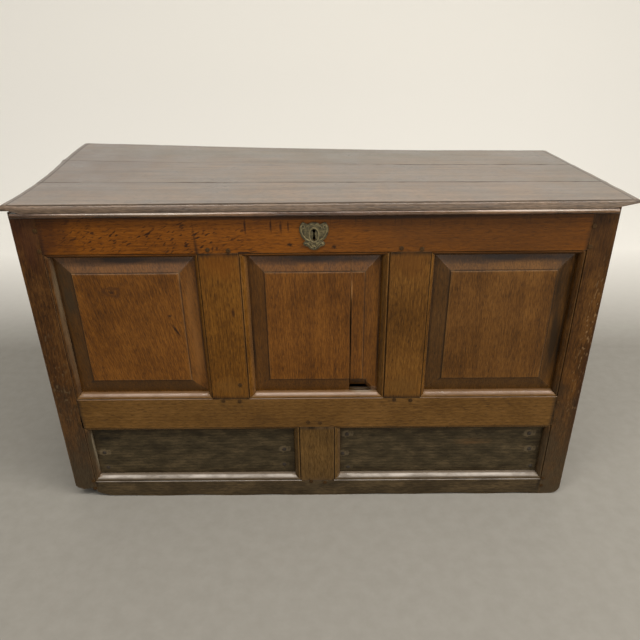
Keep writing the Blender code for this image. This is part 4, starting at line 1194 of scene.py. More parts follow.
@dataclass
class FrontFrame:
    """Stiles, rails and muntins of the front, and the bead under the lid's lip."""

    bead_share: float = 0.985
    bead_proud: float = 1.25
    bead_full: float = 3.0
    moulding: float = 0.017
    foot_short: float = 0.007
    foot_corner: float = 0.008
    foot_round: float = 0.022
    foot_reach: float = 3.0
    ragged: float = 0.005
    ragged_height: float = 0.030
    ragged_noise: Triple = (110.0, 60.0, 1.9)
    rounded_end: float = 0.015
    rounded_length: float = 0.050
    stile: Box = field(default_factory=lambda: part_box("front_left_stile"))
    bead: Box = field(default_factory=lambda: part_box("front_bead"))
    wander: float = 0.004
    wander_height: float = 0.03
    wander_length: float = 0.09
    wander_noise: Pair = (8.0, 3.7)
    wander_least: float = 0.35
    rail_marks: tuple[Mark, ...] = (
        front_mark(-0.290, 0.684, 0.190, 0.040, (34, 17, 7), 0.95, shape=MarkShape.DASHES),
        front_mark(-0.480, 0.690, 0.110, 0.040, (34, 17, 7), 0.7, shape=MarkShape.DASHES),
        front_mark(-0.312, 0.6590, 0.007, 0.0022, lean=-40.0),
        front_mark(-0.302, 0.6585, 0.006, 0.0020, lean=-50.0),
        front_mark(-0.219, 0.6640, 0.0025, 0.006, lean=15.0),
        front_mark(-0.210, 0.6640, 0.0025, 0.005, lean=15.0),
        front_mark(-0.150, 0.710, 0.0025, 0.018, (40, 20, 8), 0.85),
        front_mark(-0.098, 0.712, 0.0022, 0.016, (40, 20, 8), 0.85),
        front_mark(-0.078, 0.708, 0.0030, 0.014, (40, 20, 8), 0.75),
        front_mark(-0.063, 0.710, 0.0022, 0.012, (40, 20, 8), 0.75),
        front_mark(0.250, 0.722, 0.330, 0.020, strength=0.5, shape=MarkShape.RUNS),
        front_mark(-0.580, 0.700, 0.095, 0.080, (46, 24, 12), 0.65),
        front_mark(-0.0606, 0.6711, 0.0065, 0.0045, (24, 15, 8), 0.9),
        front_mark(0.0297, 0.6659, 0.0055, 0.0050, (24, 15, 8), 0.9),
        front_mark(0.340, 0.690, 0.360, 0.110, (58, 38, 18), 0.52),
        # Painted shadow under the bead, along the top rail's top edge.
        front_mark(-0.011, 0.7290, 0.700, 0.0065, (20, 12, 7), 0.75),
    )
    # Painted highlight on the ledge under the break at the foot of the centre panel's strip.
    middle_marks: tuple[Mark, ...] = (front_mark(0.0930, 0.3085, 0.034, 0.0042, (132, 118, 102), 0.9),)
    muntin_marks: tuple[Mark, ...] = (
        front_mark(-0.1876, 0.5165, 0.004, 0.012),
        front_mark(-0.2060, 0.6250, 0.045, 0.035, (104, 60, 12), 0.55),
        front_mark(-0.2060, 0.3250, 0.045, 0.030, (96, 65, 26), 0.5),
    )
    right_muntin_marks: tuple[Mark, ...] = (
        front_mark(0.1875, 0.6250, 0.045, 0.035, (90, 54, 15), 0.55),
        front_mark(0.1875, 0.3250, 0.045, 0.030, (94, 65, 27), 0.5),
    )
    bead_marks: tuple[Mark, ...] = (
        # Darker middle and left end hold back the painted highlight; the left end is also splintered.
        front_mark(0.100, 0.738, 0.250, 0.020, (70, 50, 38), 0.65),
        front_mark(-0.570, 0.738, 0.090, 0.020, (52, 38, 28), 0.8),
        # Painted highlight along the bead's upper shoulder.
        front_mark(-0.330, 0.7428, 0.200, 0.0022, (198, 186, 174), 0.65),
        front_mark(0.440, 0.7428, 0.200, 0.0022, (198, 186, 174), 0.55),
        # Painted shade on the bead's lower half.
        front_mark(0.0, 0.7335, 0.660, 0.0032, (26, 16, 10), 0.75),
    )
    left_marks: tuple[Mark, ...] = (
        front_mark(-0.600, 0.700, 0.050, 0.090, (60, 32, 18), 0.6),
        front_mark(-0.585, 0.500, 0.020, 0.120, (34, 18, 8), 0.6, shape=MarkShape.CHIPS),
        front_mark(-0.600, 0.330, 0.030, 0.160, (104, 86, 60), 0.4, shape=MarkShape.CHIPS),
        # Weathered grey with painted light on the upper opening's left moulding, which faces the light.
        front_mark(-0.5540, 0.480, 0.010, 0.190, (116, 104, 82), 0.5),
        front_mark(-0.554, 0.130, 0.012, 0.085, (56, 49, 34), 0.75),
        # Pale line along the low opening's moulding arris: rubbed wear and a painted highlight.
        front_mark(-0.5560, 0.130, 0.0024, 0.075, (150, 138, 116), 0.55),
    )
    right_marks: tuple[Mark, ...] = (
        front_mark(0.590, 0.420, 0.020, 0.230, (146, 116, 80), 0.42, shape=MarkShape.CHIPS),
        front_mark(0.600, 0.300, 0.014, 0.220, (46, 24, 10), 0.6),
        front_mark(0.570, 0.690, 0.060, 0.110, (48, 28, 10), 0.5),
    )

    def worn_under(self, point: Vector) -> Vector:
        """Set the mouldings back, and eat away the lower edge unevenly, where damp floors have rotted it.

        Args:
            point: a point of the frame, which is moved.

        Returns:
            The same point.
        """
        point = widened(point)
        share = 1 - min(1.0, point.z / self.wander_height)
        if share > 0:
            scale, seed = self.wander_noise
            eaten = noise.noise(Vector((point.x / self.wander_length, point.y * scale, seed)))
            point.z += self.wander * share * max(0.0, self.wander_least + eaten)
        stile_end = self.stile[1].x - self.moulding
        low = ease(point.z, self.ragged_height, 0.0)
        if point.x < stile_end:
            along, deep, seed = self.ragged_noise
            torn = noise.noise(Vector((point.x * along, point.y * deep, seed)))
            corner = max(0.0, 1 - (point.x - self.stile[0].x) / self.foot_round)
            eaten = self.foot_short + self.ragged * torn + self.foot_corner * corner ** 2
            point.z += ease(point.z, self.foot_reach * self.stile[0].z, self.stile[0].z) * eaten
        elif point.x < stile_end + self.rounded_length:
            point.z += self.rounded_end * low * (1 - (point.x - stile_end) / self.rounded_length) ** 2
        return point

    def trimmed(self, point: Vector) -> Vector:
        """Shorten the bead a little, bring it forward of the lid's nose and fill it out up to the lid.

        Args:
            point: a point of the bead, which is moved.

        Returns:
            The same point.
        """
        low, high = self.bead
        middle = (low.x + high.x) / 2
        point.x = middle + (point.x - middle) * self.bead_share
        point.y = high.y + (point.y - high.y) * self.bead_proud
        half = (high.z - low.z) / 2
        short = min(1.0, (high.z - point.z) / half)
        if 0 < short < 1:
            point.z = high.z - half * short ** self.bead_full
        return point

    def build(self) -> list[Piece]:
        """Make the front's frame.

        Returns:
            The finished members.
        """
        fine = replace(JOINTED, cross_pitch=0.006)
        members = [
            Member("front_left_stile", STILE_OAK, Axis.Z, fine, self.left_marks),
            Member("front_right_stile", RIGHT_OAK, Axis.Z, JOINTED, self.right_marks),
            Member("front_left_muntin", FRAME_OAK, Axis.Z, JOINTED, self.muntin_marks),
            Member("front_right_muntin", MUNTIN_OAK, Axis.Z, JOINTED, self.right_muntin_marks),
            Member("front_lower_muntin", LOWER_OAK, Axis.Z, JOINTED),
            Member("front_top_rail", RAIL_OAK, Axis.X, JOINTED, self.rail_marks),
            Member("front_middle_rail", MIDDLE_OAK, Axis.X, JOINTED, self.middle_marks),
            Member("front_bottom_rail", FOOT_OAK, Axis.X, replace(PLANED, pitch=0.012)),
        ]
        made = [member.made(self.worn_under) for member in members]
        bead = Member("front_bead", BEAD_OAK, Axis.X, replace(PLANED, chip=0.0004), self.bead_marks)
        return made + [bead.made(self.trimmed)]


@dataclass
class FrontPanels:
    """The three fielded panels and the two rough boards below them."""

    left_marks: tuple[Mark, ...] = (
        front_mark(-0.4449, 0.5641, 0.008, 0.006, (40, 22, 9)),
        front_mark(-0.4449, 0.5641, 0.022, 0.014, (58, 33, 13), 0.6, shape=MarkShape.RING),
        front_mark(-0.3272, 0.5076, 0.004, 0.004, (28, 16, 8)),
        front_mark(-0.3160, 0.4700, 0.003, 0.020, (22, 12, 6), 0.9, lean=-27.0),
        # Painted light on panel 1's right bevel, which faces the light.
        front_mark(-0.2750, 0.4500, 0.018, 0.170, (132, 88, 42), 0.5),
        # Painted shade at the top of panel 1's left bevel, which faces away from the light.
        front_mark(-0.5420, 0.5600, 0.022, 0.090, (44, 40, 30), 0.6),
    )
    # Left and right sight edges of each upper panel, where painted shadow and shade are laid.
    shelter: tuple[Pair, ...] = ((-0.5571, -0.2619), (-0.1502, 0.1280), (0.2400, 0.5330))
    split_marks: tuple[Mark, ...] = (front_mark(0.0660, 0.4350, 0.0022, 0.120, (14, 9, 5), 0.95),)
    strip_marks: tuple[Mark, ...] = (
        front_mark(0.0670, 0.563, 0.0022, 0.026, (176, 128, 76), 0.8),
        # Painted highlight on the ledge below the break.
        front_mark(0.0930, 0.312, 0.040, 0.008, (118, 102, 88), 0.6),
        front_mark(0.0840, 0.332, 0.020, 0.011, (24, 16, 8), 0.7),
    )
    right_marks: tuple[Mark, ...] = (front_mark(0.518, 0.47, 0.026, 0.20, (30, 18, 3), 0.9),)
    patch: Mark = front_mark(0.3657, 0.1530, 0.055, 0.012, (92, 68, 40), 0.6)
    damp: Mark = front_mark(-0.530, 0.178, 0.045, 0.024, (24, 20, 13), 0.8)
    ring_fade: Pair = (0.070, 0.125)
    ring_half: Pair = (0.013, 0.004)
    ring_strength: Pair = (0.2, 0.35)
    closed_from: float = 0.54
    closed_to: float = 0.60
    split: float = field(default_factory=lambda: (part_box("front_centre_panel")[1].x
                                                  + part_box("front_centre_panel_strip")[0].x) / 2)
    split_reach: float = 0.0025
    split_left: float = 0.12
    foot_base: float = field(default_factory=lambda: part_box("front_centre_panel_strip")[0].z)
    foot_side: float = 0.1160
    foot_low: float = 0.3205
    foot_high: float = 0.3435
    foot_reach: float = 0.0042
    foot_arris: float = 0.0012
    foot_slope: float = 0.0145
    foot_bevel: float = 0.226
    foot_shelf: float = 0.020
    shelf_front: float = -0.2385
    shelf_back: float = -0.2330

    def ringed(self, nails: Sequence[Pair]) -> tuple[Mark, ...]:
        """Draw the pale ring that each nail's head has worn into a low board, fainter near the floor.

        Args:
            nails: where the nails are, x and z.

        Returns:
            The rings.
        """
        rings = []
        for x, z in nails:
            worn = ease(z, *self.ring_fade)
            half = self.ring_half[0] + self.ring_half[1] * worn
            strength = self.ring_strength[0] + self.ring_strength[1] * worn
            rings.append(front_mark(x, z, half, 0.7 * half, (106, 92, 70), strength, shape=MarkShape.RING))
        return tuple(rings)

    def sheltered(self, index: int) -> tuple[Mark, ...]:
        """Paint the rail moulding's shadow on a panel's top bevel, and grime with painted shade down both of
        its sides.

        Args:
            index: the panel, counted from the left.

        Returns:
            The marks.
        """
        left, right = self.shelter[index]
        # Grime with painted shade down the panel's sight edges.
        sides = tuple(front_mark(x, 0.470, 0.0042, 0.200, (24, 18, 11), 0.85) for x in (left, right))
        # Painted shadow of the rail's moulding on the top bevel.
        bevel = front_mark((left + right) / 2, 0.642, 0.55 * (right - left), 0.026, (38, 30, 26), 0.88)
        return (bevel,) + sides

    def broken(self, point: Vector) -> Vector:
        """Close the centre panel's split towards the top, and slope the break at the strip's foot.

        Args:
            point: a point of the panel, which is moved.

        Returns:
            The same point.
        """
        if abs(point.x - self.split) < self.split_reach:
            drawn = ease(point.z, self.closed_from, self.closed_to) * (1 - self.split_left)
            point.x += (self.split - point.x) * drawn
        if point.x > self.split and point.z < self.foot_high + self.foot_reach:
            self.splinter(point)
        return widened(point)

    def splinter(self, point: Vector) -> None:
        """Slope the side of the break at the strip's foot, and let its top run down to the back.

        Args:
            point: a point of the strip, which is moved.
        """
        from_side = point.x - self.foot_side
        from_top = point.z - self.foot_high
        deep = ease(point.y, self.shelf_front, self.shelf_back)
        if abs(from_side) < self.foot_arris or 0 < from_side < self.foot_reach:
            drawn = self.foot_slope * ease(point.z, self.foot_low, self.foot_high)
            point.x -= drawn
            point.y -= self.foot_bevel * drawn * (1 - deep)
        if from_side < self.foot_arris and from_top < self.foot_arris:
            height = self.foot_high - self.foot_base
            point.z -= self.foot_shelf * deep * (from_top + height) / height

    def build(self) -> list[Piece]:
        """Make the panels and the low boards.

        Returns:
            The finished panels and boards.
        """
        left = self.left_marks + self.sheltered(0)
        split = self.split_marks + self.sheltered(1)
        right = self.right_marks + self.sheltered(2)
        damp = (self.damp,) + self.ringed(LEFT_NAILS)
        patched = (self.patch,) + self.ringed(RIGHT_NAILS)
        whole = [
            Member("front_left_panel", LEFT_PANEL_OAK, Axis.Z, FIELDED, left),
            Member("front_right_panel", RIGHT_PANEL_OAK, Axis.Z, FIELDED, right),
            Member("front_low_left_board", LOW_OAK, Axis.X, ROUGH, damp),
            Member("front_low_right_board", LOW_OAK, Axis.X, ROUGH, patched),
        ]
        riven = [
            Member("front_centre_panel", PANEL_OAK, Axis.Z, FIELDED, split, "front_centre_panel_strip"),
            Member("front_centre_panel_strip", PANEL_OAK, Axis.Z, FIELDED, split + self.strip_marks,
                   "front_centre_panel"),
        ]
        made = [member.made(widened) for member in whole]
        return made + [member.made(self.broken) for member in riven]


@dataclass
class Ends:
    """Both ends of the coffer: rails and panels between the corner stiles, and the rear stiles."""

    sides: tuple[str, ...] = SIDES

    def build(self) -> list[Piece]:
        """Make both ends.

        Returns:
            The finished members.
        """
        members = []
        for side in self.sides:
            members.append(Member(f"rear_{side}_stile", STILE_OAK, Axis.Z))
            members += [Member(f"{side}_side_{place}_rail", STILE_OAK, Axis.Y) for place in ("top", "middle")]
            members.append(Member(f"{side}_side_bottom_rail", FOOT_OAK, Axis.Y))
            members.append(Member(f"{side}_side_upper_panel", PANEL_OAK, Axis.Z, FIELDED))
            members.append(Member(f"{side}_side_low_panel", FOOT_OAK, Axis.Y, FIELDED))
        return [member.made() for member in members]


@dataclass
class BackAndFloor:
    """The plain oak that is seldom seen: back frame, back panels, floor, bearers and cleats."""

    floor_boards: int = 4

    def build(self) -> list[Piece]:
        """Make the back and the floor.

        Returns:
            The finished members.
        """
        members = [Member(f"back_{place}_rail", PLAIN_OAK, Axis.X, SAWN) for place in ("top", "bottom")]
        members.append(Member("back_muntin", PLAIN_OAK, Axis.Z, SAWN))
        members += [Member(f"back_{side}_panel", PLAIN_OAK, Axis.X, FIELDED) for side in SIDES]
        boards = range(1, self.floor_boards + 1)
        members += [Member(f"floor_board_{number}", PLAIN_OAK, Axis.Y, FIELDED) for number in boards]
        members += [Member(f"{place}_floor_bearer", PLAIN_OAK, Axis.X, SAWN) for place in ("front", "rear")]
        cleats = ("left", "centre", "right")
        members += [Member(f"{place}_board_cleat", PLAIN_OAK, Axis.Z, SAWN) for place in cleats]
        return [member.made() for member in members]


@dataclass
class Lid:
    """Three planks on two battens, winding up at the rear left, thin and chipped along the front."""

    curl_rise: float = 0.019
    curl_start: float = 0.300
    curl_power: float = 1.4
    curl_front: float = -0.11
    left_draw: float = -0.016
    right_draw: float = 0.029
    draw_start: float = -0.20
    draw_from: float = 0.75
    left_thin: float = 0.0055
    left_tip: float = 0.034
    right_thin: float = 0.0110
    right_tip: float = 0.052
    tip_depth: float = 0.10
    tip_point: float = 0.004
    tip_inset: float = 0.006
    thumb_width: float = 0.0143
    thumb_nose: float = 0.006
    thumb_top: float = 0.0152
    end_fall: float = 0.0012
    nose_back: float = 0.0095
    chip_middle: float = -0.505
    chip_half: float = 0.04
    chip_depth: float = 0.005
    chip_noise: Pair = (90.0, 7.1)
    seam_end: float = 0.05
    seam_fade: float = 0.15
    seam_reach: float = 0.0030
    seam_fall: float = 0.0004
    seam_shut: float = 0.7
    seam_top: float = 0.6
    seam_line: float = 0.0016
    nose_wear: float = 0.0025
    nose_depth: float = 0.020
    nose_noise: Pair = (18.0, 1.3)
    low: Vector = field(default_factory=lambda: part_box("lid_front_plank")[0])
    high: Vector = field(default_factory=lambda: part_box("lid_rear_plank")[1])
    seam: float = field(default_factory=lambda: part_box("lid_rear_plank")[0].y)
    seam_taper: float = 0.051
    rear_slant: float = -2.325
    front_taper: float = 0.038
    front_slant: float = -1.733
    mark_depth: float = 0.050
    specks: tuple[Pair, ...] = ((-0.330, 0.130), (0.430, 0.214), (0.040, -0.170), (-0.120, 0.060),
                                (0.230, 0.020))

    def lift(self, x: float, y: float) -> float:
        """Give how far the lid has wound up at a place."""
        leftward = max(0.0, (self.curl_start - x) / (self.curl_start - self.low.x))
        return self.curl_rise * leftward ** self.curl_power * ease(y, self.curl_front, self.high.y)

    def seam_at(self, x: float) -> float:
        """Give the place of the slanting rear seam at a place along the lid."""
        return self.seam + self.seam_taper * (0.5 - 0.5 * x / self.high.x)

    def thumb(self, inset: float) -> float:
        """Give the height of the moulded edge at a distance in from the rim.

        Args:
            inset: the distance.

        Returns:
            The height over the lid's underside.
        """
        if inset >= self.thumb_width:
            return self.high.z - self.low.z
        share = 1 - max(0.0, inset) / self.thumb_width
        return self.thumb_nose + (self.thumb_top - self.thumb_nose) * math.sqrt(1 - share * share)

    def eaten(self, x: float, pattern: Pair) -> float:
        """Give how far the front edge is eaten away at a place, by a pattern's scale and seed."""
        return max(0.0, noise.noise(Vector((x * pattern[0], pattern[1], 0.0))))

    def squared(self, point: Vector) -> Vector:
        """Fill the moulding at the ends out to a plain worn edge, and set the nose back over the bead.

        Args:
            point: a point of the lid, which is moved.

        Returns:
            The same point.
        """
        whole = self.high.z - self.low.z
        inset = self.high.x - abs(point.x)
        if inset < self.thumb_width:
            front = self.thumb(point.y - self.low.y)
            plain = whole - self.end_fall * (1 - inset / self.thumb_width)
            filled = (point.z - self.low.z) * min(front, plain) / min(front, self.thumb(inset))
            point.z = self.low.z + min(filled, plain)
        forward = self.thumb_width - (point.y - self.low.y)
        if forward > 0:
            point.y += self.nose_back * forward / self.thumb_width
        return point

    def warped(self, point: Vector) -> Vector:
        """Wind the lid, draw its rear ends and wear its front edge.

        Args:
            point: a point of the lid, which is moved.

        Returns:
            The same point.
        """
        point = self.squared(point)
        right = self.high.x
        lift = self.lift(point.x, point.y)
        rearward = max(0.0, (point.y - self.draw_start) / (self.high.y - self.draw_start))
        drawn = self.left_draw if point.x < 0 else self.right_draw
        inwards = -drawn if point.x > 0 else drawn
        point.x += inwards * rearward * ease(abs(point.x) / right, self.draw_from, 1.0)
        front = ease(point.y, self.low.y + self.nose_depth, self.low.y)
        top = (point.z - self.low.z) / (self.high.z - self.low.z)
        eaten = self.nose_wear * self.eaten(point.x, self.nose_noise)
        if abs(point.x - self.chip_middle) < self.chip_half:
            eaten += self.chip_depth * self.eaten(point.x, self.chip_noise)
        point.y += eaten * front * max(0.0, min(1.0, top))
        seam = self.seam_at(point.x)
        if abs(point.y - seam) < self.seam_reach and top > self.seam_top:
            shut = ease(point.x, self.seam_end, self.seam_end - self.seam_fade)
            point.y += self.seam_shut * (seam - point.y) * shut
            point.z += (self.high.z - self.seam_fall - point.z) * shut
        inset = right - abs(point.x)
        if point.x < 0:
            thinned = self.left_thin * ease(inset, self.left_tip, 0.5 * self.left_tip)
            point.x -= self.tip_point * front * ease(inset, self.tip_inset, 0.0)
        else:
            thinned = self.right_thin * max(0.0, 1 - inset / self.right_tip)
        thinned *= ease(point.y, self.low.y + self.tip_depth, self.low.y + self.nose_depth)
        point.z += lift + thinned * max(0.0, 1 - top)
        return point

    def top_marks(self) -> tuple[Mark, ...]:
        """Draw the open seams, the dull left end, the green-grey rear and a few dark specks.

        Returns:
            The marks.
        """
        level = self.high.z + self.curl_rise / 2
        front_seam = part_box("lid_middle_plank")[0].y + self.front_taper / 2
        dark = (26, 19, 12)
        rows = (
            (0.0, front_seam, 0.720, self.seam_line, dark, 0.8, self.front_slant),
            (0.330, self.seam_at(0.330), 0.380, self.seam_line, dark, 0.8, self.rear_slant),
            (-0.560, 0.060, 0.240, 0.300, (66, 50, 42), 0.45, 0.0),
            (0.060, 0.200, 0.620, 0.110, (78, 76, 62), 0.40, 0.0),
            (0.590, -0.080, 0.110, 0.260, (78, 72, 62), 0.35, 0.0),
        )
        marks = [Mark((x, y, level), (wide, deep, self.mark_depth), tone, strength, (0.0, 0.0, slant))
                 for x, y, wide, deep, tone, strength, slant in rows]
        marks += [
            Mark((0.0, self.low.y + 0.014, self.low.z), (0.900, 0.014, 0.020), (62, 46, 32), 0.35),
            Mark((-0.625, self.low.y + 0.020, self.low.z), (0.040, 0.060, 0.009), (24, 17, 12), 0.9),
        ]
        marks += [Mark((x, y, level), (0.010, 0.004, self.mark_depth), (44, 32, 24), 0.7)
                  for x, y in self.specks]
        return tuple(marks)

    def lifted(self, point: Vector) -> Vector:
        """Carry something fixed under the lid up with it."""
        point.z += self.lift(point.x, point.y)
        return point

    def build(self) -> list[Piece]:
        """Make the planks and the battens.

        Returns:
            The finished planks and battens.
        """
        planks = [Member(f"lid_{place}_plank", LID_OAK, Axis.X, TRODDEN, self.top_marks())
                  for place in ("front", "middle", "rear")]
        battens = [Member(f"lid_{side}_batten", PLAIN_OAK, Axis.Y, SAWN) for side in SIDES]
        made = [plank.made(self.warped) for plank in planks]
        return made + [batten.made(self.lifted) for batten in battens]


@dataclass
class Ironwork:
    """Strap hinges and the chest lock, forged and rusted."""

    knuckle_start: float = 0.165
    knuckle_end: float = 0.200
    lid: Lid = field(default_factory=Lid)

    def sprung(self, point: Vector) -> Vector:
        """Bend a strap up to the wound lid, but leave its knuckle on the pin.

        Args:
            point: a point of the strap, which is moved.

        Returns:
            The same point.
        """
        held = ease(point.y, self.knuckle_end, self.knuckle_start)
        point.z += self.lid.lift(point.x, min(point.y, self.knuckle_end)) * held
        return point

    def build(self) -> list[Piece]:
        """Make the hinges, the lock case, its bolt and the catch.

        Returns:
            The finished ironwork.
        """
        grains = {f"{side}_hinge_{part}": axis for side in SIDES
                  for part, axis in (("leaf", Axis.Z), ("strap", Axis.Y), ("pin", Axis.X))}
        grains |= {"lock_case": Axis.X, "lock_bolt": Axis.X, "lid_catch": Axis.X}
        made = []
        for node, axis in grains.items():
            piece = Workpiece(node)
            if node != "lock_case":
                piece.soften(FORGED)
            piece.cut_up(axis, FORGED.pitch)
            piece.wear(replace(FORGED, hollow=0.00012) if "pin" in node else FORGED, axis)
            if "strap" in node:
                piece.shape(self.sprung)
            made.append(piece.dress(IRON.material(node)))
        return made


@dataclass
class KeyPlate:
    """The cast brass plate round the keyhole, with ears, scrolls and a raised rim."""

    thickness: float = 0.0024
    edge: float = 0.0007
    key_radius: float = 0.004
    key_slot: float = 0.0025
    key_top: float = 0.7015
    key_foot: float = 0.6800
    middle_z: float = 0.6896
    half_outline: tuple[Pair, ...] = (
        (0.0, 29.0), (6.6, 28.0), (12.4, 25.6), (16.4, 26.6), (21.9, 29.0), (26.3, 24.2), (29.0, 17.1),
        (28.2, 9.3), (25.6, 1.4), (21.6, -5.0), (17.4, -8.8), (15.6, -10.9), (19.6, -12.1), (21.4, -16.4),
        (18.8, -19.3), (13.0, -21.4), (8.0, -25.6), (2.7, -28.2), (0.0, -28.6),
    )
    rib: float = 0.0015
    rim_half: Pair = (0.0095, 0.0150)
    rim_rise: float = 0.002
    rim_steps: int = 12
    half_ribs: tuple[tuple[float, tuple[Pair, ...]], ...] = (
        (0.9, ((23.0, 25.0), (26.0, 19.0), (25.2, 10.0), (21.0, 1.0), (15.0, -5.5), (9.0, -8.5))),
        (0.7, ((22.0, 24.5), (19.0, 21.0), (20.2, 17.2), (23.6, 18.2))),
        (0.7, ((3.0, 25.6), (9.0, 24.0), (14.0, 21.2), (16.5, 16.0))),
        (0.7, ((18.6, -15.4), (14.6, -14.2), (11.2, -16.6), (6.0, -22.4), (1.2, -26.2))),
        (0.7, ((4.2, -11.0), (4.8, -16.0), (1.8, -23.0))),
    )
    pin_places: tuple[Pair, ...] = ((-0.0255, 0.0215), (0.0255, 0.0215), (0.0, -0.0205))
    pin_radius: float = 0.0019
    pin_flat: float = 0.7
    bright_from: float = 0.0002
    dark_from: float = 0.0005
    dark_full: float = -0.0002
    dark_share: float = 0.7
    cast_scale: float = 260.0
    cast_depth: float = 0.00025
    low: Vector = field(default_factory=lambda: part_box("escutcheon")[0])
    high: Vector = field(default_factory=lambda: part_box("escutcheon")[1])

    def middle_x(self) -> float:
        """Give the plate's middle along the front."""
        return (self.low.x + self.high.x) / 2

    def curve(self, runs: Sequence[Sequence[Pair]], closed: bool, flat: bool, bevel: float) -> Piece:
        """Draw smooth runs in the plate's plane.

        Args:
            runs: the points of each run, in metres from the plate's middle, x and z.
            closed: whether each run joins up.
            flat: whether the runs bound a filled plate, or are round ribs.
            bevel: the plate's rounding, or a rib's radius.

        Returns:
            The runs as one mesh, standing at the front.
        """
        data = bpy.data.curves.new("key_plate_run", "CURVE")
        data.dimensions = "2D" if flat else "3D"
        data.bevel_depth = bevel
        data.bevel_resolution = 2
        data.resolution_u = 6
        if flat:
            data.fill_mode = "BOTH"
            data.extrude = self.thickness / 2 - bevel
        else:
            data.use_fill_caps = True
        for run in runs:
            spline = data.splines.new("BEZIER")
            spline.bezier_points.add(len(run) - 1)
            spline.use_cyclic_u = closed
            for point, (x, z) in zip(spline.bezier_points, run):
                point.co = (x, z, 0.0)
                point.handle_left_type = point.handle_right_type = "AUTO"
        obj = bpy.data.objects.new("key_plate_run", data)
        bpy.context.scene.collection.objects.link(obj)
        return Bench.mesh_of(obj)

    def outline(self) -> list[Pair]:
        """Give the plate's outline from its right half."""
        right = [(x / 1000, z / 1000) for x, z in self.half_outline]
        return right + [(-x, z) for x, z in reversed(right[1:-1])]

    def keyhole(self) -> list[Pair]:
        """Give the keyhole: a round head over a straight slot.

        Returns:
            Its points, x and z.
        """
        rise = self.key_top - self.middle_z
        foot = self.key_foot - self.middle_z
        start = -math.acos(self.key_slot / self.key_radius)
        sweep = math.pi - 2 * start
        steps = 10
        turns = [start + sweep * step / steps for step in range(steps + 1)]
        head = [(self.key_radius * math.cos(turn), rise + self.key_radius * math.sin(turn)) for turn in turns]
        slot = [(-self.key_slot, (rise + foot) / 2), (-self.key_slot, foot), (self.key_slot, foot),
                (self.key_slot, (rise + foot) / 2)]
        return head + slot

    def relief(self) -> list[Piece]:
        """Model the raised rim round the keyhole, the scrolls at the ears and the ribs of the foot.

        Returns:
            The ribs.
        """
        key_middle = (self.key_top + self.key_foot) / 2 - self.middle_z + self.rim_rise
        wide, high = self.rim_half
        turns = [math.tau * step / self.rim_steps for step in range(self.rim_steps)]
        rim = [(wide * math.cos(turn), key_middle + high * math.sin(turn)) for turn in turns]
        runs = [self.curve([rim], True, False, self.rib)]
        for side in (-1, 1):
            for share, run in self.half_ribs:
                line = [(side * x / 1000, z / 1000) for x, z in run]
                runs.append(self.curve([line], False, False, self.rib * share))
        return runs

    def pins(self) -> list[Piece]:
        """Model the small domed pins that hold the plate.

        Returns:
            The pins.
        """
        heads = []
        for x, z in self.pin_places:
            bpy.ops.mesh.primitive_uv_sphere_add(segments=12, ring_count=8, radius=self.pin_radius,
                                                 location=(x, z, 0.0))
            pin = bpy.context.object
            with Bench.editing(pin, "VERT"):
                bpy.ops.mesh.select_all(action="SELECT")
                bpy.ops.transform.resize(value=(1.0, 1.0, self.pin_flat))
            bpy.ops.object.transform_apply(location=True, rotation=True, scale=True)
            heads.append(pin)
        return heads

    def handled(self, whole: Piece) -> None:
        """Write to the mesh where hands have kept the raised parts bright, and where the ground is dark.

        Args:
            whole: the joined plate.
        """
        ground = self.high.y - self.thickness
        heights = [ground - vertex.co.y for vertex in whole.data.vertices]
        dark = [ease(height, self.dark_from, self.dark_full) for height in heights]
        Bench.noted(whole, "rub", [ease(height, self.bright_from, self.rib) for height in heights])
        Bench.noted(whole, "grime", [self.dark_share * share for share in dark])

    def build(self) -> list[Piece]:
        """Make the plate and stand it on the top rail.

        Returns:
            The finished plate.
        """
        plate = self.curve([self.outline(), self.keyhole()], True, True, self.edge)
        raised = self.relief() + self.pins()
        for part in raised:
            part.data.transform(Matrix.Translation((0.0, 0.0, self.thickness / 2)))
        whole = Bench.joined([plate] + raised, "escutcheon_cast")
        stand = Matrix.Translation((self.middle_x(), self.high.y - self.thickness / 2, self.middle_z))
        whole.data.transform(stand @ Euler((math.pi / 2, 0.0, 0.0)).to_matrix().to_4x4())
        for vertex in whole.data.vertices:
            push = noise.noise(vertex.co * self.cast_scale)
            vertex.co += vertex.normal * self.cast_depth * push
        self.handled(whole)
        Bench.settle(whole, "carcase", "brass", BRASS.material("escutcheon_cast"))
        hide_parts("escutcheon")
        return [whole]


class Facing(Enum):
    """The way a fastener's head looks."""

    FRONT = (math.pi / 2, 0.0, 0.0)
    BACK = (-math.pi / 2, 0.0, 0.0)
    LEFT = (0.0, -math.pi / 2, 0.0)
    RIGHT = (0.0, math.pi / 2, 0.0)
    UP = (0.0, 0.0, 0.0)
    DOWN = (math.pi, 0.0, 0.0)

    def place(self, point: Triple, spin: float = 0.0) -> Matrix:
        """Give the place of a head at a point, spun about its own axis."""
        turned = Matrix.Translation(point) @ Euler(self.value).to_matrix().to_4x4()
        return turned @ Matrix.Rotation(spin, 4, "Z")


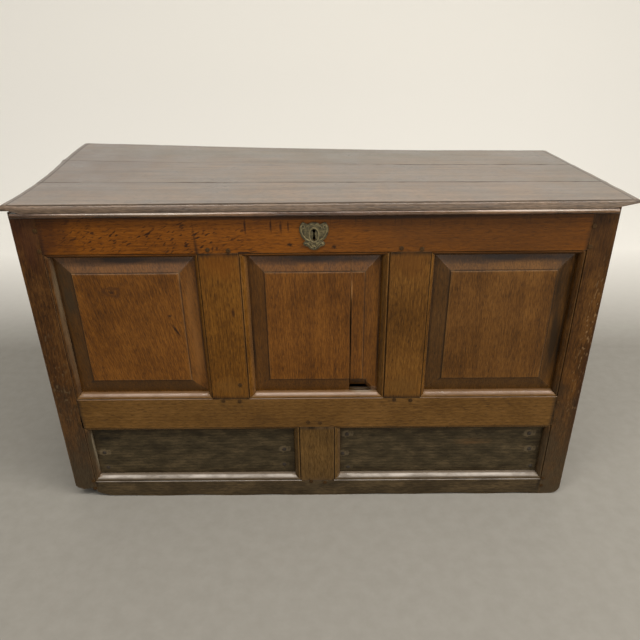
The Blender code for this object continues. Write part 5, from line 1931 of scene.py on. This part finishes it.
@dataclass
class Fasteners:
    """Draw-bore pegs in the frame, and nails in the boards, battens and ironwork."""

    peg_radius: float = 0.0048
    peg_proud: float = 0.0014
    nail_radius: float = 0.0050
    nail_proud: float = 0.0020
    tack_radius: float = 0.0034
    sunk: float = 0.004
    stile_edge: float = 0.047
    end_edge: float = 0.032
    peg_levels: tuple[float, ...] = (0.026, 0.050, 0.228, 0.278, 0.662, 0.706)
    back_levels: tuple[float, ...] = (0.026, 0.044, 0.665, 0.710)
    muntin_pegs: tuple[Pair, ...] = ((-0.020, 0.662), (0.022, 0.660), (-0.018, 0.290), (0.020, 0.288))
    floor_side: float = 0.05
    floor_end: float = 0.012
    leaf_shares: tuple[Pair, ...] = ((0.25, 0.3), (0.75, 0.3), (0.5, 0.12))
    leaf_depth: float = 0.004
    strap_shares: tuple[float, ...] = (0.06, 0.3, 0.55, 0.78)
    strap_depth: float = 0.003
    batten_shares: tuple[float, ...] = (0.1, 0.36, 0.64, 0.9)
    lock_corner: float = 0.009
    chance: random.Random = field(default_factory=lambda: random.Random("fasteners"))
    lid: Lid = field(default_factory=Lid)

    def headed(self, sides: int, radius: float, rim: float, depth: float,
               steps: Sequence[tuple[float, Triple]]) -> Piece:
        """Model a short shank whose stepped head looks up.

        Args:
            sides: how many facets it has.
            radius: its radius.
            rim: how far the rim of its head stands out.
            depth: its whole length.
            steps: each inset of the head, and the shift that follows it.

        Returns:
            The shank, at the origin.
        """
        bpy.ops.mesh.primitive_cylinder_add(vertices=sides, radius=radius, depth=depth,
                                            location=(0.0, 0.0, rim - depth / 2))
        obj = bpy.context.object
        with Bench.editing(obj) as mesh:
            for face in mesh.faces:
                face.select_set(face.normal.z > 0.9)
            bmesh.update_edit_mesh(obj.data)
            for inset, shift in steps:
                bpy.ops.mesh.inset(thickness=inset)
                bpy.ops.transform.translate(value=shift)
        bpy.ops.object.transform_apply(location=True, rotation=True, scale=True)
        return obj

    def peg(self) -> Piece:
        """Model a whittled peg with a worn, faceted end that looks up.

        Returns:
            The peg, at the origin.
        """
        inset = self.peg_radius * 0.3
        steps = ((inset, (0.0003, 0.0, self.peg_proud * 0.35)),
                 (inset, (0.0, 0.0002, -self.peg_proud * 0.15)))
        return self.headed(9, self.peg_radius, self.peg_proud, self.peg_proud + self.sunk, steps)

    def nail(self, radius: float) -> Piece:
        """Model a hand-forged nail's head, beaten to a few facets, that looks up.

        Args:
            radius: the head's radius.

        Returns:
            The nail, at the origin.
        """
        rise = self.nail_proud * 0.3
        steps = ((radius * 0.18, (0.0, 0.0, rise)), (radius * 0.5, (radius * 0.08, 0.0, rise)))
        return self.headed(7, radius, self.nail_proud * 0.4, self.nail_proud + self.sunk, steps)

    def row(self, facing: Facing, points: Sequence[Triple]) -> list[Matrix]:
        """Give the places of a row of heads, each spun its own way."""
        return [facing.place(point, self.chance.uniform(0.0, math.tau)) for point in points]

    def frame_pegs(self) -> list[Matrix]:
        """Find where the front's and the ends' tenons are pegged.

        Returns:
            The place of each peg.
        """
        low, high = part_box("front_left_stile")[0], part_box("front_right_stile")[1]
        middle = (low.x + high.x) / 2
        stiles = (low.x + self.stile_edge, high.x - self.stile_edge)
        front = [(x, FRONT_Y, z) for x in stiles for z in self.peg_levels]
        for node in ("front_left_muntin", "front_right_muntin"):
            head_low, head_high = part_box(node)
            x = (head_low.x + head_high.x) / 2
            front += [(x + aside, FRONT_Y, z) for aside, z in self.muntin_pegs]
        front += [(-0.0314, FRONT_Y, 0.2275), (-0.0032, FRONT_Y, 0.2252), (middle - 0.016, FRONT_Y, 0.044),
                  (middle + 0.018, FRONT_Y, 0.041), (-0.1855, FRONT_Y, 0.333)]
        places = self.row(Facing.FRONT, front)
        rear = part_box("rear_left_stile")[1].y
        for facing, x in ((Facing.LEFT, low.x), (Facing.RIGHT, high.x)):
            ends = [(x, y, z) for y in (low.y + self.end_edge, rear - self.end_edge) for z in self.peg_levels]
            places += self.row(facing, ends)
        back = [(x, rear, z) for x in stiles for z in self.back_levels]
        return places + self.row(Facing.BACK, back)

    def floor_nails(self) -> list[Triple]:
        """Find where the floor boards are nailed down.

        Returns:
            The nails' places.
        """
        points = []
        for number in range(1, BackAndFloor.floor_boards + 1):
            low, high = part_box(f"floor_board_{number}")
            columns = (low.x + self.floor_side, (low.x + high.x) / 2, high.x - self.floor_side)
            for y in (low.y + self.floor_end, high.y - self.floor_end):
                points += [(x, y, high.z) for x in columns]
        return points

    def leaf_nails(self) -> list[Triple]:
        """Find where the hinge leaves are nailed to the back.

        Returns:
            The nails' places.
        """
        points = []
        for side in SIDES:
            low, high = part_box(f"{side}_hinge_leaf")
            points += [(low.x + (high.x - low.x) * x, low.y + self.leaf_depth, low.z + (high.z - low.z) * z)
                       for x, z in self.leaf_shares]
        return points

    def under_lid(self, node: str, shares: Sequence[float], sunk: float | None = None) -> list[Triple]:
        """Find where both of a pair are nailed up to the wound lid.

        Args:
            node: the pair's name, with a gap for the side.
            shares: how far along its depth each nail is.
            sunk: how far the heads lie below its top, or None if they lie on its underside.

        Returns:
            The nails' places.
        """
        points = []
        for side in SIDES:
            low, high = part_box(node.format(side))
            level = low.z if sunk is None else high.z - sunk
            points += [((low.x + high.x) / 2, low.y + (high.y - low.y) * share, level) for share in shares]
        return [tuple(self.lid.lifted(Vector(point))) for point in points]

    def build(self) -> list[Piece]:
        """Make every group of fasteners.

        Returns:
            The finished groups.
        """
        pegs = Bench.laid(self.peg(), self.frame_pegs(), "frame_pegs")
        box = (Vector((-1.0, -1.0, -1.0)), Vector((1.0, 1.0, 1.0)))
        finish = PEG_OAK.material("frame_pegs", Axis.Y, Axis.X, box)
        made = [Bench.settle(pegs, "carcase", "oak_frame", finish)]
        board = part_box("front_low_left_board")[0].y
        board_nails = [(x, board + 0.001, z) for x, z in LEFT_NAILS + RIGHT_NAILS]
        straps = self.under_lid("{}_hinge_strap", self.strap_shares, self.strap_depth)
        battens = self.under_lid("lid_{}_batten", self.batten_shares)
        low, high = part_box("lock_case")
        corners = [(x, high.y, z) for x in (low.x + self.lock_corner, high.x - self.lock_corner)
                   for z in (low.z + self.lock_corner, high.z - self.lock_corner)]
        groups = (
            ("low_board_nails", "carcase", self.nail_radius, Facing.FRONT, board_nails),
            ("floor_nails", "carcase", self.tack_radius, Facing.UP, self.floor_nails()),
            ("leaf_nails", "carcase", self.tack_radius, Facing.BACK, self.leaf_nails()),
            ("strap_nails", "lid", self.tack_radius, Facing.DOWN, straps),
            ("batten_nails", "lid", self.tack_radius, Facing.DOWN, battens),
            ("lock_nails", "carcase", self.tack_radius, Facing.BACK, corners),
        )
        for name, body, radius, facing, points in groups:
            nails = Bench.laid(self.nail(radius), self.row(facing, points), name)
            made.append(Bench.settle(nails, body, "iron", NAIL.material(name)))
        return made


@dataclass
class Studio:
    """Pale floor sweeping up behind, soft lights, and the camera."""

    lens: float = 33.867
    sensor: float = 36.0
    eye: Triple = (0.0062, -1.4143, 1.0919)
    pitch: float = 27.030
    yaw: float = 0.343
    roll: float = 0.620
    sweep_half: float = 9.0
    sweep_back: float = 3.4
    sweep_front: float = -9.0
    sweep_top: float = 5.0
    sweep_round: float = 0.9
    floor_dark: Tone = (146, 143, 136)
    floor_light: Tone = (151, 148, 141)
    wall_tone: Tone = (222, 219, 212)
    wall_glow: float = 0.36
    glow_start: float = 0.5
    glow_end: float = 1.5
    mottle: Triple = (30.0, 30.0, 30.0)
    sky: Tone = (255, 251, 245)
    sky_strength: float = 0.38

    def floor(self) -> None:
        """Lay the floor and sweep it up behind the coffer."""
        bpy.ops.mesh.primitive_plane_add(size=2.0)
        obj = bpy.context.object
        obj.name = "studio_sweep"
        with Bench.editing(obj, "VERT") as mesh:
            for vertex in mesh.verts:
                depth = self.sweep_back if vertex.co.y > 0 else self.sweep_front
                vertex.co = (vertex.co.x * self.sweep_half, depth, 0.0)
            bpy.ops.mesh.select_mode(type="EDGE")
            for edge in mesh.edges:
                edge.select_set(all(vertex.co.y > 0 for vertex in edge.verts))
            bmesh.update_edit_mesh(obj.data)
            bpy.ops.mesh.extrude_region_move(TRANSFORM_OT_translate={"value": (0.0, 0.0, self.sweep_top)})
            bpy.ops.mesh.select_all(action="DESELECT")
            mesh = bmesh.from_edit_mesh(obj.data)
            for edge in mesh.edges:
                edge.select_set(len(edge.link_faces) == 2)
            bmesh.update_edit_mesh(obj.data)
            bpy.ops.mesh.bevel(offset=self.sweep_round, segments=16, affect="EDGES")
        Bench.only(obj)
        bpy.ops.object.shade_smooth()
        graph = Graph("studio_paper")
        mottle = graph.cloud(graph.mapping(graph.place, scale=self.mottle), 5.0, 0.6)
        behind = graph.sum("ADD", graph.part(graph.place, Axis.Y), graph.part(graph.place, Axis.Z))
        climb = graph.span(behind, self.glow_start, self.glow_end)
        floor = graph.ramp(mottle, ((0.35, self.floor_dark), (0.65, self.floor_light)))
        graph.feed(graph.shader.inputs["Base Color"], graph.mix(climb, floor, linear(self.wall_tone)))
        graph.shader.inputs["Emission Color"].default_value = linear(self.wall_tone)
        graph.feed(graph.shader.inputs["Emission Strength"], graph.sum("MULTIPLY", climb, self.wall_glow))
        graph.shader.inputs["Roughness"].default_value = 0.9
        graph.shader.inputs["Specular IOR Level"].default_value = 0.1
        obj.data.materials.append(graph.material)

    def light(self, name: str, at: Triple, towards: Triple, size: Pair, watts: float,
              tone: Tone = (255, 250, 242)) -> None:
        """Hang one soft light.

        Args:
            name: the light's name.
            at: where it hangs.
            towards: what it looks at.
            size: its width and height.
            watts: its power.
            tone: its colour.
        """
        turn = (Vector(towards) - Vector(at)).to_track_quat("-Z", "Y").to_euler()
        bpy.ops.object.light_add(type="AREA", location=at, rotation=turn)
        lamp = bpy.context.object
        lamp.name = name
        lamp.data.shape = "RECTANGLE"
        lamp.data.size, lamp.data.size_y = size
        lamp.data.energy = watts
        lamp.data.color = linear(tone)[:3]
        lamp.visible_camera = False

    def camera(self) -> None:
        """Stand the camera where the view was taken from."""
        pitch, yaw, roll = (math.radians(angle) for angle in (self.pitch, self.yaw, self.roll))
        level = Vector((math.cos(yaw), math.sin(yaw), 0.0))
        ahead = Vector((-math.sin(yaw) * math.cos(pitch), math.cos(yaw) * math.cos(pitch), -math.sin(pitch)))
        plumb = ahead.cross(level)
        right = level * math.cos(roll) + plumb * math.sin(roll)
        up = level * math.sin(roll) - plumb * math.cos(roll)
        data = bpy.data.cameras.new("view")
        data.lens = self.lens
        data.sensor_width = self.sensor
        data.clip_start = 0.05
        camera = bpy.data.objects.new("view", data)
        turned = Matrix((right, up, -ahead)).transposed().to_4x4()
        camera.matrix_world = Matrix.Translation(self.eye) @ turned
        bpy.context.scene.collection.objects.link(camera)
        bpy.context.scene.camera = camera

    def build(self) -> None:
        """Set up the floor, lights, sky and camera."""
        self.floor()
        self.light("ceiling_light", (0.3, -1.1, 2.5), (0.1, -0.2, 0.3), (3.6, 0.28), 58.0)
        self.light("room_light", (0.5, -4.2, 0.55), (0.0, -0.2, 0.5), (4.5, 0.8), 36.0)
        self.light("window_light", (2.8, -1.6, 1.7), (0.0, -0.1, 0.4), (1.4, 1.6), 34.0)
        self.light("wall_light", (0.0, 3.0, 2.4), (0.0, 0.0, 0.7), (6.0, 2.0), 20.0)
        world = bpy.data.worlds.new("studio")
        world.use_nodes = True
        sky = world.node_tree.nodes["Background"]
        sky.inputs["Color"].default_value = linear(self.sky)
        sky.inputs["Strength"].default_value = self.sky_strength
        bpy.context.scene.world = world
        bpy.context.scene.view_settings.view_transform = "Standard"
        self.camera()


def main() -> None:
    """Build the sub-assemblies in order, report their pieces, and set up the studio."""
    logging.basicConfig(level=logging.INFO, format="%(name)s: %(message)s")
    assemblies = (FrontFrame(), FrontPanels(), Ends(), BackAndFloor(), Lid(), Ironwork(), KeyPlate(),
                  Fasteners())
    for assembly in assemblies:
        for piece in assembly.build():
            log.info("%s: %s, %d faces", type(assembly).__name__, piece.name, len(piece.data.polygons))
    Studio().build()


if __name__ == "__main__":
    main()
